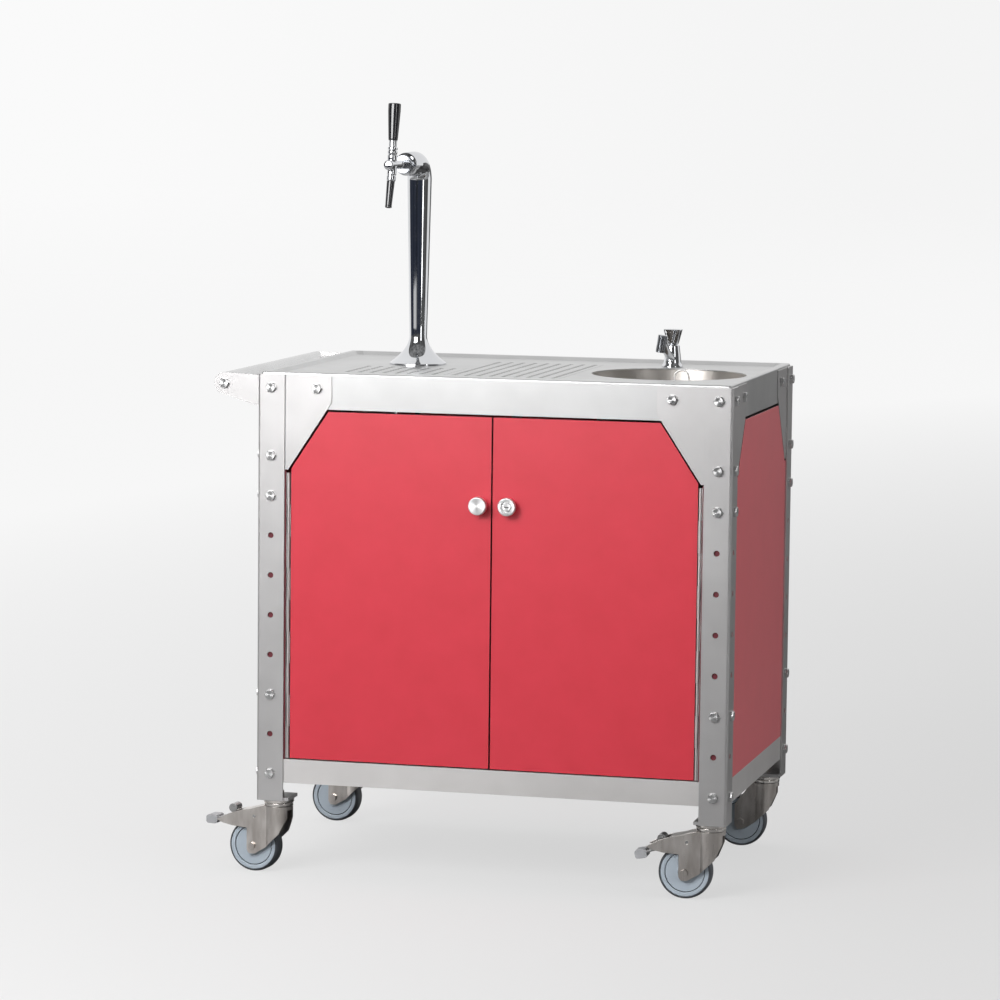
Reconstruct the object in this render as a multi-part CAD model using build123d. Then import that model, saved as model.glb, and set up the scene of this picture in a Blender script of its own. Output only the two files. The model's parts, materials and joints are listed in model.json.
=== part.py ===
from build123d import *
import math
import os

# Mobile draft beer dispenser, in millimetres. X runs to the right, Y to the back, Z up from the floor.
# The pieces are laid out about the middle of the cart and moved together at the end, so that the
# origin is under the middle of the whole object.

# Cart
cart_width = 900.0
cart_depth = 600.0
worktop_height = 950.0
sheet = 2.0
half_width = cart_width / 2
half_depth = cart_depth / 2

# Casters, measured at the swivel axis and from the floor
wheel_radius = 50.0
wheel_width = 32.0
tread_depth = 5.0
rim_groove_radius = 37.0
rim_groove_width = 1.4
hub_bore_clearance = 0.06
axle_radius = 5.0
wheel_side_gap = 2.5
fork_gauge = 3.0
fork_trail = 46.0
crown_radius = 27.0
crown_gauge = 7.0
head_radius = 29.0
head_height = 13.6
head_waist = 1.6
swivel_gap = 0.4
kingpin_radius = 6.0
kingpin_clearance = 0.06
fork_room = 21.0
caster_inset = 34.0
caster_turns = {"front_left": 6.0, "front_right": -2.0, "rear_left": 5.0, "rear_right": -3.0}
wheel_top = 2 * wheel_radius
crown_bottom = wheel_top + fork_room
crown_top = crown_bottom + crown_gauge
leg_bottom = crown_top + swivel_gap + head_height
cheek_inner = wheel_width / 2 + wheel_side_gap
cheek_outer = cheek_inner + fork_gauge

# Brake pedals on the two front casters
brake_pivot_radius = 3.0
brake_pivot_clearance = 0.06
brake_pivot_offset = 4.0
brake_pivot_x = brake_pivot_offset - fork_trail
brake_pivot_rise = 7.0
brake_reach = 73.0
pedal_gauge = 3.0
pedal_side_gap = 1.5
pedal_tip_length = 24.0
pedal_tip_height = 16.0
pedal_tip_drop = 2.9
pedal_fall = 7.5
pedal_press = 9.0
pedal_roller_back = 43.0
pedal_roller_rise = 17.0
pedal_roller_radius = 8.5
pedal_roller_web = 6.0
brake_pad_back = 6.0
brake_pad_gap = 0.4

# Legs
leg_flange = 52.0
leg_gauge = 3.0
leg_bend = 5.0
rim_drop = 5.0
foot_plate = 59.0
foot_plate_gauge = 6.0
leg_top = worktop_height - rim_drop

# Bottom tray
tray_rise = 35.0
tray_bottom = leg_bottom + tray_rise
tray_height = 45.0
tray_lip = 16.0
tray_top = tray_bottom + tray_height

# Bolt holes: a row up each leg flange, and one more above it
bolt_radius = 5.0
bolt_flats = 17.0
bolt_head = 6.4
nut_height = 8.0
hole_radius = 5.5
hole_inset = 26.0
hole_steps = 8
bolted_steps = (0, 2, 7, 8)
panel_steps = (2, 7)
top_hole_drop = 29.0
upper_hole_drop = 127.0
lower_hole_rise = 17.0
top_hole = worktop_height - top_hole_drop
upper_hole = top_hole - upper_hole_drop
lower_hole = tray_bottom + lower_hole_rise
insert_depth = 8.0

# Corner gussets, measured from the leg's outer corner
gusset_gauge = 2.0
gusset_reach = 142.0
gusset_foot_margin = 6.0
gusset_edge_drop = 55.0
gusset_drop = 182.0
gusset_foot = leg_flange + gusset_foot_margin
gusset_edge = worktop_height - gusset_edge_drop
gusset_bottom = worktop_height - gusset_drop
gusset_bolt = 113.5

# Worktop: a tray with a raised rim
skirt_height = 68.0
rim_width = 14.0
rim_slope = 8.0
recess_depth = 6.0
recess_corner = 14.0
rim_round = 3.5
skirt_lip = 15.0
skirt_inset = leg_gauge + gusset_gauge
skirt_bottom = worktop_height - skirt_height
floor_top = worktop_height - recess_depth
floor_bottom = floor_top - sheet

# Sink
sink_from_side = 184.0
sink_x = half_width - sink_from_side
sink_y = 4.0
sink_radius = 146.0
sink_taper = 17.0
sink_bottom_radius = sink_radius - sink_taper
sink_depth = 120.0
sink_corner = 26.0
sink_flange = 8.0
sink_wall = 1.5
drain_right = 18.0
drain_behind = 30.0
drain_x = sink_x + drain_right
drain_y = sink_y + drain_behind
drain_bore = 15.0
drain_wall = 3.0
drain_flange = 30.0
drain_flange_rise = 2.0
drain_length = 62.0
drain_nut_radius = 27.0
drain_nut_height = 10.0
sink_floor = floor_bottom - sink_depth

# Column's place on the worktop
column_from_side = 206.0
column_x = column_from_side - half_width
column_y = 67.0
column_turn = -5.0
column_foot_radius = 55.0

# Drip grids and their pan
front_grid_from_side = 112.0
front_grid_width = 212.0
front_grid_to_column = 20.0
grid_to_sink = 22.0
grid_from_front = 116.0
grid_from_back = 116.0
grid_divider_width = 4.0
front_grid_left = front_grid_from_side - half_width
front_grid_back = column_y - column_foot_radius - front_grid_to_column
grid_divider = front_grid_left + front_grid_width + grid_divider_width / 2
grid_right = sink_x - sink_radius - grid_to_sink
grid_front = grid_from_front - half_depth
grid_back = half_depth - grid_from_back
grid_clearance = 0.5
grid_hole_radius = 4.5
grid_hole_x = 24.0
grid_hole_y = 18.0
grid_margin = 11.0
pan_ledge = 7.0
pan_flange = 8.0
pan_depth = 38.0
pan_drain_x = (grid_divider + grid_right) / 2
pan_drain_y = -60.0
pan_drain_radius = 11.0
pan_drain_length = 45.0

# Standpipe with its wire ring
standpipe_clearance = 0.1
standpipe_plug = 16.0
standpipe_rim = 4.0
standpipe_rim_height = 3.0
standpipe_radius = 12.0
standpipe_wall = 2.5
standpipe_height = 96.0
ring_radius = 14.0
ring_wire = 1.75
ring_leg = 18.0
ring_cap = 4.0
ring_seat = 0.8

# Faucet behind the sink
faucet_left = 32.0
faucet_from_back = 116.0
faucet_x = sink_x - faucet_left
faucet_y = half_depth - faucet_from_back
faucet_foot_radius = 20.5
faucet_radius_low = 17.0
faucet_radius = 13.0
faucet_height = 44.0
spout_radius = 7.0
spout_reach = 92.0
spout_start = 20.0
aerator_rise = 67.0
aerator_radius = 9.0
aerator_length = 33.0
aerator_tilt = 8.0
aerator_neck = 11.0
aerator_knurls = 18
faucet_shank_radius = 10.0
faucet_shank_length = 34.0
handle_neck_radius = 7.0
handle_neck_clearance = 0.06
handle_width = 35.0
handle_depth = 28.0
handle_height = 29.0
handle_gap = 0.4

# Beer column
column_foot_rim = 4.0
column_flare = 54.0
column_flare_middle = 25.0
column_flare_radius = 30.0
column_radius_low = 17.0
column_radius_high = 23.5
column_wall = 4.0
column_rise = 387.0
column_axis_height = floor_top + column_rise
column_bend = 32.0
column_head_reach = 76.0
column_shank_radius = 18.0
column_shank_length = 30.0

# Beer tap, measured along the head from the column's axis
tap_reach = 147.0
tap_body_radius = 8.5
tap_cap_ahead = 16.0
tap_cap_reach = tap_reach + tap_cap_ahead
tap_cap_radius = 10.0
collar_radius = 17.0
collar_length = 15.0
collar_knurls = 24
bonnet_radius = 9.6
bonnet_height = 19.0
lever_ball_rise = 24.0
lever_ball_radius = 9.3
lever_gap = 0.3
lever_lean = 6.0
ferrule_radius = 7.0
ferrule_length = 22.0
grip_length = 70.0
grip_radius_low = 9.0
grip_radius_high = 12.0
spout_lean = 14.0
tap_spout_radius = 9.0
tap_spout_length = 32.0
nozzle_radius_high = 7.6
nozzle_radius_low = 6.0
nozzle_length = 50.5
nozzle_bore = 4.0

# Panels, doors and door posts
panel = 10.0
panel_gap = 3.5
panel_side_gap = 3.0
panel_corner_gap = 0.5
post_top_gap = 2.0
door_setback = 6.0
door_middle_gap = 3.0
door_rail_gap = 4.0
door_floor_gap = 2.0
hinge_from_leg = 7.0
hinge_barrel = 2.5
hinge_pin_radius = 1.2
hinge_pin_clearance = 0.05
hinge_leaf = 1.0
hinge_web = 0.6
hinge_leaf_offset = 3.5
hinge_leaf_width = 20.0
hinge_knuckles = 9
hinge_knuckle_gap = 0.4
hinge_top_gap = 6.0
hinge_x = half_width - leg_flange - hinge_from_leg
door_front = door_setback - half_depth
door_back = door_front + panel
door_edge = hinge_x - hinge_leaf_offset - hinge_leaf
door_bottom = tray_top + door_floor_gap
door_top = skirt_bottom - door_rail_gap
hinge_bottom = door_bottom
hinge_top = gusset_bottom - hinge_top_gap

# Door knob and lock knob
knob_from_gap = 23.0
lock_from_gap = 32.0
knob_x = -knob_from_gap
lock_x = lock_from_gap
knob_from_top = 163.0
knob_height = door_top - knob_from_top
knob_radius = 17.0
knob_length = 22.0
knob_neck_radius = 8.0
knob_neck_length = 8.0
lock_rose_length = 19.0
lock_recess_radius = 10.7
lock_recess_depth = 4.0
lock_knob_radius = 8.2
lock_knob_length = 4.2
lock_spindle_radius = 5.0
lock_spindle_clearance = 0.05
lock_hole_radius = 9.0
lock_hole_clearance = 0.2
lock_gap = 0.4
key_slot_width = 2.0
key_slot_length = 9.0
key_slot_depth = 2.5
cam_gauge = 3.0
cam_width = 14.0
cam_length = 46.0
cam_gap = 1.5

# Push handle on the left side
handle_bar_radius = 20.0
handle_bar_wall = 2.0
handle_bar_out = 67.0
handle_bar_drop = 24.0
handle_bar_height = worktop_height - handle_bar_drop
bracket_gauge = 3.0
bracket_setback = 4.0
bracket_flange = 42.0
bracket_drop = 63.0
bracket_bottom = worktop_height - bracket_drop
spigot_length = 12.0
spigot_clearance = 0.3

# Equipment inside the cabinet
canister_from_side = 22.0
canister_width = 156.0
canister_depth = 225.0
canister_from_front = 35.0
canister_spacing = 15.0
canister_right = half_width - canister_from_side
canister_left = canister_right - canister_width
canister_height = 320.0
canister_round = 14.0
canister_neck_radius = 26.0
canister_neck_height = 22.0
canister_cap_radius = 31.0
canister_cap_height = 20.0
fresh_front = canister_from_front - half_depth
fresh_back = fresh_front + canister_depth
waste_front = fresh_back + canister_spacing
waste_back = waste_front + canister_depth
canister_x = (canister_left + canister_right) / 2
fresh_y = (fresh_front + fresh_back) / 2
waste_y = (waste_front + waste_back) / 2
cap_top = tray_top + canister_height + canister_neck_height + canister_cap_height
cooler_to_canister = 22.0
cooler_from_back = 30.0
cooler_width = 230.0
cooler_depth = 330.0
cooler_right = canister_left - cooler_to_canister
cooler_left = cooler_right - cooler_width
cooler_back = half_depth - cooler_from_back
cooler_front = cooler_back - cooler_depth
cooler_height = 310.0
cooler_foot = 8.0
cooler_foot_radius = 12.0
cooler_foot_inset = 25.0
cooler_round = 8.0
cooler_slots = 9
cooler_slot_height = 6.0
cooler_slot_pitch = 16.0
cooler_slot_start = 40.0
cooler_slot_inset = 30.0
cooler_slot_depth = 5.0
cooler_stub_length = 18.0
cooler_stub_wall = 3.0
cooler_outlet_from_side = 45.0
cooler_outlet_from_front = 70.0
cooler_outlet_x = cooler_left + cooler_outlet_from_side
cooler_outlet_y = cooler_front + cooler_outlet_from_front
cooler_top = tray_top + cooler_foot + cooler_height
line_radius = 5.0
line_bend = 40.0
drain_line_radius = 9.0
drain_line_bend = 25.0
drain_line_spread = 28.0

corner_names = ("front_left", "front_right", "rear_left", "rear_right")


def block(x0, x1, y0, y1, z0, z1):
    """Box between two corners."""
    middle = Pos((x0 + x1) / 2, (y0 + y1) / 2, (z0 + z1) / 2)
    return middle * Box(x1 - x0, y1 - y0, z1 - z0)


def rod(radius, start, end):
    """Round bar between two points."""
    run = Vector(*end) - Vector(*start)
    seat = Plane(origin=start, z_dir=run)
    return seat * Cylinder(radius, run.length, align=(Align.CENTER, Align.CENTER, Align.MIN))


def plate_xz(points, y0, y1):
    """Plate with an outline in X and Z, between two depths."""
    face = make_face(Polyline(*[(x, y0, z) for x, z in points], close=True))
    return extrude(face, amount=y1 - y0, dir=(0, 1, 0))


def plate_yz(points, x0, x1):
    """Plate with an outline in Y and Z, between two sides."""
    face = make_face(Polyline(*[(x0, y, z) for y, z in points], close=True))
    return extrude(face, amount=x1 - x0, dir=(1, 0, 0))


def turned(points, x=0.0, y=0.0):
    """Solid of revolution about an upright axis, from (radius, height) points."""
    face = make_face(Polyline(*[(r, 0, z) for r, z in points], close=True))
    return Pos(x, y, 0) * revolve(face, Axis.Z)


def hexagon(flats, height):
    """Hexagonal prism that stands on the XY plane."""
    return extrude(RegularPolygon(flats / 2, 6, major_radius=False), amount=height)


def flip_x(shape):
    """The same piece on the other side of the cart."""
    return mirror(shape, about=Plane.YZ)


def at_corner(shape, name):
    """A shape made about the front left corner, placed at the named corner."""
    shape = Pos(-half_width, -half_depth, 0) * shape
    if name == "front_right":
        return mirror(shape, about=Plane.YZ)
    if name == "rear_left":
        return mirror(shape, about=Plane.XZ)
    if name == "rear_right":
        return Rot(0, 0, 180) * shape
    return shape


def hole_height(step):
    """Height of a hole in the row up the leg."""
    return lower_hole + (upper_hole - lower_hole) * step / hole_steps


def angle_section(flange, gauge, bend, offset):
    """L section whose outer corner lies at (offset, offset)."""
    far = flange + offset
    near = gauge + offset
    points = [(offset, offset), (far, offset), (far, near), (near, near), (near, far), (offset, far)]
    section = make_face(Polyline(*points, close=True))
    outer = section.vertices().sort_by_distance((offset, offset, 0))[0]
    section = fillet(outer, bend)
    if bend > gauge:
        inner = section.vertices().sort_by_distance((near, near, 0))[0]
        section = fillet(inner, bend - gauge)
    return section


def leg():
    """Steel angle with its foot plate welded in, at the corner's own frame."""
    section = angle_section(leg_flange, leg_gauge, leg_bend, 0.0)
    body = Pos(0, 0, leg_bottom) * extrude(section, amount=leg_top - leg_bottom)
    foot_end = leg_gauge + foot_plate
    body += block(leg_gauge, foot_end, leg_gauge, foot_end, leg_bottom, leg_bottom + foot_plate_gauge)
    body -= rod(kingpin_radius + kingpin_clearance, (caster_inset, caster_inset, leg_bottom - 1),
                (caster_inset, caster_inset, leg_bottom + foot_plate_gauge + 1))
    for height in leg_holes():
        for hole in flange_holes(hole_inset, 0.0, leg_gauge, height):
            body -= hole
    return body


def flange_holes(reach, near, far, height):
    """A bolt hole through each of the two walls at a corner, between two depths."""
    front = rod(hole_radius, (reach, near - 1, height), (reach, far + 1, height))
    side = rod(hole_radius, (near - 1, reach, height), (far + 1, reach, height))
    return front, side


def leg_holes():
    """Heights of every hole in a leg flange."""
    return [hole_height(step) for step in range(hole_steps + 1)] + [top_hole]


def gusset_slant(height, spacing=0.0):
    """Distance from the leg's corner to the gusset's slanted edge, with a gap square to that edge."""
    rise = gusset_edge - gusset_bottom
    run = gusset_reach - gusset_foot
    sideways = spacing * math.hypot(rise, run) / rise
    return gusset_foot + (height - gusset_bottom) * run / rise + sideways


def gusset():
    """Bent corner plate between the leg and the worktop's skirt, at the corner's own frame."""
    flange = gusset_reach - leg_gauge
    section = angle_section(flange, gusset_gauge, leg_bend - leg_gauge + 0.2, leg_gauge)
    body = Pos(0, 0, gusset_bottom) * extrude(section, amount=leg_top - gusset_bottom)
    past = gusset_reach + 10
    below = gusset_bottom - 10
    waste = [(gusset_foot, gusset_bottom), (gusset_reach, gusset_edge), (past, gusset_edge),
             (past, below), (gusset_foot, below)]
    body -= plate_xz(waste, leg_gauge - 1, skirt_inset + 1)
    body -= plate_yz(waste, leg_gauge - 1, skirt_inset + 1)
    for reach, height in ((hole_inset, upper_hole), (hole_inset, top_hole), (gusset_bolt, top_hole)):
        for hole in flange_holes(reach, leg_gauge, skirt_inset, height):
            body -= hole
    return body


def recess_solid(grow, top, bottom):
    """Tapered block of the worktop's recess, grown on every side."""
    width = cart_width - 2 * (skirt_inset + rim_width - grow)
    depth = cart_depth - 2 * (skirt_inset + rim_width - grow)
    corner = recess_corner + grow
    mouth = Pos(0, 0, top) * RectangleRounded(width, depth, corner)
    floor = Pos(0, 0, bottom) * RectangleRounded(width - 2 * rim_slope, depth - 2 * rim_slope, corner)
    return loft([mouth, floor])


def worktop():
    """Sheet-metal top: raised rim, recess, skirt with a folded lip, and its cut-outs."""
    x_out = half_width - skirt_inset
    y_out = half_depth - skirt_inset
    x_in = x_out - sheet
    y_in = y_out - sheet
    body = block(-x_out, x_out, -y_out, y_out, skirt_bottom, worktop_height)
    body = fillet(body.edges().filter_by(Axis.Z), leg_bend)
    body = fillet(body.faces().sort_by(Axis.Z)[-1].edges(), rim_round)
    hollow = block(-x_in, x_in, -y_in, y_in, skirt_bottom + sheet, worktop_height - sheet)
    body -= fillet(hollow.edges().filter_by(Axis.Z), leg_bend - sheet)
    body -= block(skirt_lip - x_in, x_in - skirt_lip, skirt_lip - y_in, y_in - skirt_lip,
                  skirt_bottom - 1, skirt_bottom + sheet + 1)
    body += recess_solid(sheet, worktop_height - sheet, floor_bottom)
    body -= recess_solid(0.0, worktop_height, floor_top)
    for x0, x1, y0, y1 in (front_grid_edges(), right_grid_edges()):
        body -= block(x0, x1, y0, y1, floor_bottom - 1, floor_top + 1)
    for x, y, radius in ((sink_x, sink_y, sink_radius), (faucet_x, faucet_y, faucet_shank_radius + 1),
                         (column_x, column_y, column_shank_radius + 1)):
        body -= rod(radius, (x, y, floor_bottom - 1), (x, y, floor_top + 1))
    for name in corner_names:
        for reach in (hole_inset, gusset_bolt):
            for hole in flange_holes(reach, skirt_inset, skirt_inset + sheet, top_hole):
                body -= at_corner(hole, name)
    return body


def front_grid_edges():
    """Opening of the grid in front of the column: left, right, front, back."""
    return front_grid_left, grid_divider - grid_divider_width / 2, grid_front, front_grid_back


def right_grid_edges():
    """Opening of the long grid between the column and the sink: left, right, front, back."""
    return grid_divider + grid_divider_width / 2, grid_right, grid_front, grid_back


def drip_grid(edges):
    """Perforated sheet, flush with the worktop's recess."""
    x0, x1, y0, y1 = edges
    body = block(x0 + grid_clearance, x1 - grid_clearance, y0 + grid_clearance, y1 - grid_clearance,
                 floor_bottom, floor_top)
    across = int((x1 - x0 - 2 * grid_margin) // grid_hole_x) + 1
    along = int((y1 - y0 - 2 * grid_margin) // grid_hole_y) + 1
    middle = Pos((x0 + x1) / 2, (y0 + y1) / 2, floor_bottom)
    holes = middle * GridLocations(grid_hole_x, grid_hole_y, across, along)
    cut = [place * Circle(grid_hole_radius) for place in holes]
    return body - extrude(Sketch() + cut, amount=2 * sheet, both=True)


def drip_pan():
    """Pan under both grids; its flange holds the grids flush and its floor has a drain."""
    edges = (front_grid_edges(), right_grid_edges())
    pan_bottom = floor_bottom - pan_depth
    body = None
    for x0, x1, y0, y1 in edges:
        flange = block(x0 - pan_flange, x1 + pan_flange, y0 - pan_flange, y1 + pan_flange,
                       floor_bottom - sheet, floor_bottom)
        trough = block(x0 - sheet, x1 + sheet, y0 - sheet, y1 + sheet, pan_bottom, floor_bottom)
        body = flange + trough if body is None else body + flange + trough
    bridge = grid_divider_width / 2 + pan_ledge
    for x0, x1, y0, y1 in edges:
        body -= block(x0, x1, y0, y1, pan_bottom + sheet, floor_bottom - sheet)
        body -= block(x0 + pan_ledge, x1 - pan_ledge, y0 + pan_ledge, y1 - pan_ledge,
                      floor_bottom - sheet - 1, floor_bottom + 1)
    body -= block(grid_divider - bridge, grid_divider + bridge, grid_front, front_grid_back,
                  pan_bottom + sheet, floor_bottom - sheet)
    spigot_end = (pan_drain_x, pan_drain_y, pan_bottom - pan_drain_length)
    body += rod(pan_drain_radius, spigot_end, (pan_drain_x, pan_drain_y, pan_bottom + sheet))
    return body - rod(pan_drain_radius - sheet, (pan_drain_x, pan_drain_y, pan_bottom - pan_drain_length - 1),
                      (pan_drain_x, pan_drain_y, pan_bottom + sheet + 1))


def bowl_shape(grow):
    """Solid of the bowl's inside, grown by the wall."""
    radius = sink_radius + grow
    low_radius = sink_bottom_radius + grow
    low = sink_floor - grow
    points = [(0, 0, low), (low_radius, 0, low), (radius, 0, floor_bottom), (0, 0, floor_bottom)]
    face = make_face(Polyline(*points, close=True))
    edge = face.vertices().sort_by_distance((low_radius, 0, low))[0]
    face = fillet(edge, sink_corner + grow)
    return Pos(sink_x, sink_y, 0) * revolve(face, Axis.Z)


def sink_bowl():
    """Round bowl hung under the worktop by its flange, with the hole for the drain."""
    body = bowl_shape(sink_wall)
    body += rod(sink_radius + sink_flange, (sink_x, sink_y, floor_bottom - sink_wall),
                (sink_x, sink_y, floor_bottom))
    body -= bowl_shape(0.0)
    hole = drain_bore + drain_wall
    return body - rod(hole, (drain_x, drain_y, sink_floor - 10), (drain_x, drain_y, sink_floor + 10))


def sink_drain():
    """Drain fitting: flange in the bowl, nut under it and a tail for the waste line."""
    low = sink_floor - drain_length
    outer = drain_bore + drain_wall
    top = sink_floor + drain_flange_rise
    nut_top = sink_floor - sink_wall
    nut_low = nut_top - drain_nut_height
    body = turned([(drain_bore, low), (outer, low), (outer, sink_floor), (drain_flange, sink_floor),
                   (drain_flange - 1, top), (drain_bore, top)], drain_x, drain_y)
    nut = turned([(outer, nut_low), (drain_nut_radius, nut_low), (drain_nut_radius, nut_top),
                  (outer, nut_top)], drain_x, drain_y)
    return body + nut


def standpipe():
    """Overflow pipe that plugs the drain, with a wire ring to lift it by."""
    plug_radius = drain_bore - standpipe_clearance
    plug_low = sink_floor - standpipe_plug
    plug_top = sink_floor + drain_flange_rise
    rim_top = plug_top + standpipe_rim_height
    pipe_top = sink_floor + standpipe_height
    bore = standpipe_radius - standpipe_wall
    rim_radius = drain_bore + standpipe_rim
    body = turned([(bore, plug_low), (plug_radius, plug_low), (plug_radius, plug_top),
                   (rim_radius, plug_top), (rim_radius, rim_top), (standpipe_radius, rim_top),
                   (standpipe_radius, pipe_top), (bore, pipe_top)], drain_x, drain_y)
    ring_low = pipe_top - ring_cap
    collar = ring_radius + ring_wire + ring_seat
    body += turned([(bore, ring_low), (collar, ring_low), (collar, pipe_top), (bore, pipe_top)],
                   drain_x, drain_y)
    return body + lifting_ring(pipe_top - ring_cap / 2, pipe_top + ring_leg)


def lifting_ring(low, shoulder):
    """Wire arch of the standpipe, with its feet in the collar."""
    left = drain_x - ring_radius
    right = drain_x + ring_radius
    path = Line((left, drain_y, low), (left, drain_y, shoulder))
    path += ThreePointArc((left, drain_y, shoulder), (drain_x, drain_y, shoulder + ring_radius),
                          (right, drain_y, shoulder))
    path += Line((right, drain_y, shoulder), (right, drain_y, low))
    return sweep(Pos(left, drain_y, low) * Circle(ring_wire), path=path)


def bottom_tray():
    """Floor of the cabinet: a plate with folded skirts and lips."""
    x_out = half_width - leg_gauge
    y_out = half_depth - leg_gauge
    x_in = x_out - sheet
    y_in = y_out - sheet
    body = block(-x_out, x_out, -y_out, y_out, tray_bottom, tray_top)
    body = fillet(body.edges().filter_by(Axis.Z), leg_bend - leg_gauge + 0.2)
    body -= block(-x_in, x_in, -y_in, y_in, tray_bottom + sheet, tray_top - sheet)
    body -= block(tray_lip - x_in, x_in - tray_lip, tray_lip - y_in, y_in - tray_lip,
                  tray_bottom - 1, tray_bottom + sheet + 1)
    for name in corner_names:
        for hole in flange_holes(hole_inset, leg_gauge, leg_gauge + sheet, lower_hole):
            body -= at_corner(hole, name)
    return body


def wall_outline(half_span, corner):
    """Outline of a wall panel whose upper corners follow the gussets; corner is half the cart's span."""
    shoulder = gusset_bottom - panel_gap
    foot = corner - gusset_slant(shoulder, panel_gap)
    crest = corner - gusset_slant(door_top, panel_gap)
    left = [(-half_span, tray_top), (-half_span, shoulder), (-foot, shoulder), (-crest, door_top)]
    return left + [(-s, z) for s, z in reversed(left)]


def side_panel():
    """Left side wall, behind the flanges of the legs."""
    span = half_depth - leg_gauge - panel - panel_corner_gap
    outer = leg_gauge - half_width
    body = plate_yz(wall_outline(span, half_depth), outer, outer + panel)
    inner = outer + insert_depth
    for height in [hole_height(step) for step in panel_steps]:
        for y in (hole_inset - half_depth, half_depth - hole_inset):
            body -= rod(hole_radius, (outer - 1, y, height), (inner + 1, y, height))
    return body


def rear_panel():
    """Back wall, behind the flanges of the rear legs."""
    span = half_width - leg_gauge - panel_side_gap
    outer = half_depth - leg_gauge
    body = plate_xz(wall_outline(span, half_width), outer - panel, outer)
    inner = outer - insert_depth
    for height in [hole_height(step) for step in panel_steps]:
        for x in (hole_inset - half_width, half_width - hole_inset):
            body -= rod(hole_radius, (x, outer + 1, height), (x, inner - 1, height))
    return body


def door_post():
    """Left upright strip behind the leg's front flange, which carries the hinge."""
    front = leg_gauge - half_depth
    left = leg_gauge + panel_side_gap - half_width
    right = -hinge_x - hinge_leaf_offset - hinge_leaf
    body = block(left, right, front, front + panel, tray_top, gusset_bottom - post_top_gap)
    x = hole_inset - half_width
    for height in [hole_height(step) for step in panel_steps]:
        body -= rod(hole_radius, (x, front - 1, height), (x, front + insert_depth + 1, height))
    return body


def hinge_spans(first):
    """Height spans of every second knuckle, from the given one."""
    pitch = (hinge_top - hinge_bottom) / hinge_knuckles
    half_gap = hinge_knuckle_gap / 2
    return [(hinge_bottom + pitch * i + half_gap, hinge_bottom + pitch * (i + 1) - half_gap)
            for i in range(first, hinge_knuckles, 2)]


def hinge_leaf_piece(side, back, spans):
    """Leaf of the left hinge; side is -1 towards the post and 1 towards the door."""
    near = -hinge_x + side * hinge_leaf_offset
    far = near + side * hinge_leaf
    turn_end = near + side * hinge_leaf_width
    low_x = min(near, far)
    body = block(low_x, low_x + hinge_leaf, door_front, back + hinge_leaf, hinge_bottom, hinge_top)
    body += block(min(near, turn_end), max(near, turn_end), back, back + hinge_leaf, hinge_bottom, hinge_top)
    for low, high in spans:
        body += rod(hinge_barrel, (-hinge_x, door_front, low), (-hinge_x, door_front, high))
        web_end = near + side * hinge_leaf / 2
        web = door_front + hinge_web
        body += block(min(-hinge_x, web_end), max(-hinge_x, web_end), web, web + hinge_leaf, low, high)
    bore = hinge_pin_radius + hinge_pin_clearance
    return body - rod(bore, (-hinge_x, door_front, hinge_bottom - 1), (-hinge_x, door_front, hinge_top + 1))


def hinge_frame_leaf():
    """Leaf on the left door post, with every second knuckle."""
    return hinge_leaf_piece(-1, leg_gauge - half_depth + panel, hinge_spans(0))


def hinge_door_leaf():
    """Leaf on the left door, with the knuckles between."""
    return hinge_leaf_piece(1, door_back, hinge_spans(1))


def hinge_pin():
    """Pin of the left hinge."""
    return rod(hinge_pin_radius, (-hinge_x, door_front, hinge_bottom), (-hinge_x, door_front, hinge_top))


def door_panel():
    """Left door, cut along the gusset."""
    inner = -door_middle_gap / 2
    slant_foot = gusset_bottom + (half_width - door_edge - gusset_slant(gusset_bottom, panel_gap)) * (
        (gusset_edge - gusset_bottom) / (gusset_reach - gusset_foot))
    crest = gusset_slant(door_top, panel_gap) - half_width
    return plate_xz([(-door_edge, door_bottom), (inner, door_bottom), (inner, door_top), (crest, door_top),
                     (-door_edge, slant_foot)], door_front, door_back)


def on_door(shape, x):
    """A turned piece made along +Z, seated on the door's face and pointing out of it."""
    return Plane(origin=(x, door_front, knob_height), z_dir=(0, -1, 0)) * shape


def knob_outline(length):
    """Half outline of a turned knob: foot, neck and a flat head."""
    foot = knob_radius - 3
    return [(foot, 0), (foot, 1.5), (knob_neck_radius, 2.5), (knob_neck_radius, knob_neck_length),
            (knob_radius, knob_neck_length + 3), (knob_radius, length - 1.5), (knob_radius - 1.5, length)]


def door_knob():
    """Turned pull knob of the left door."""
    return on_door(turned([(0, 0)] + knob_outline(knob_length) + [(0, knob_length)]), knob_x)


def lock_rose():
    """Knob-shaped case of the lock on the right door, with a round recess for the plug."""
    bore = lock_spindle_radius + lock_spindle_clearance
    barrel = lock_hole_radius - lock_hole_clearance
    recess = lock_rose_length - lock_recess_depth
    body = turned([(bore, -panel), (barrel, -panel), (barrel, 0)] + knob_outline(lock_rose_length)
                  + [(lock_recess_radius, lock_rose_length), (lock_recess_radius, recess), (bore, recess)])
    return on_door(body, lock_x)


def lock_knob():
    """Turning plug with its key slot and the spindle that goes through the door."""
    low = lock_rose_length - lock_recess_depth + lock_gap
    high = low + lock_knob_length
    end = -panel - cam_gap - cam_gauge
    body = turned([(0, end), (lock_spindle_radius, end), (lock_spindle_radius, low), (lock_knob_radius, low),
                   (lock_knob_radius, high - 0.8), (lock_knob_radius - 0.8, high), (0, high)])
    body -= Pos(0, 0, high) * Box(key_slot_width, key_slot_length, 2 * key_slot_depth)
    return on_door(body, lock_x)


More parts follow.
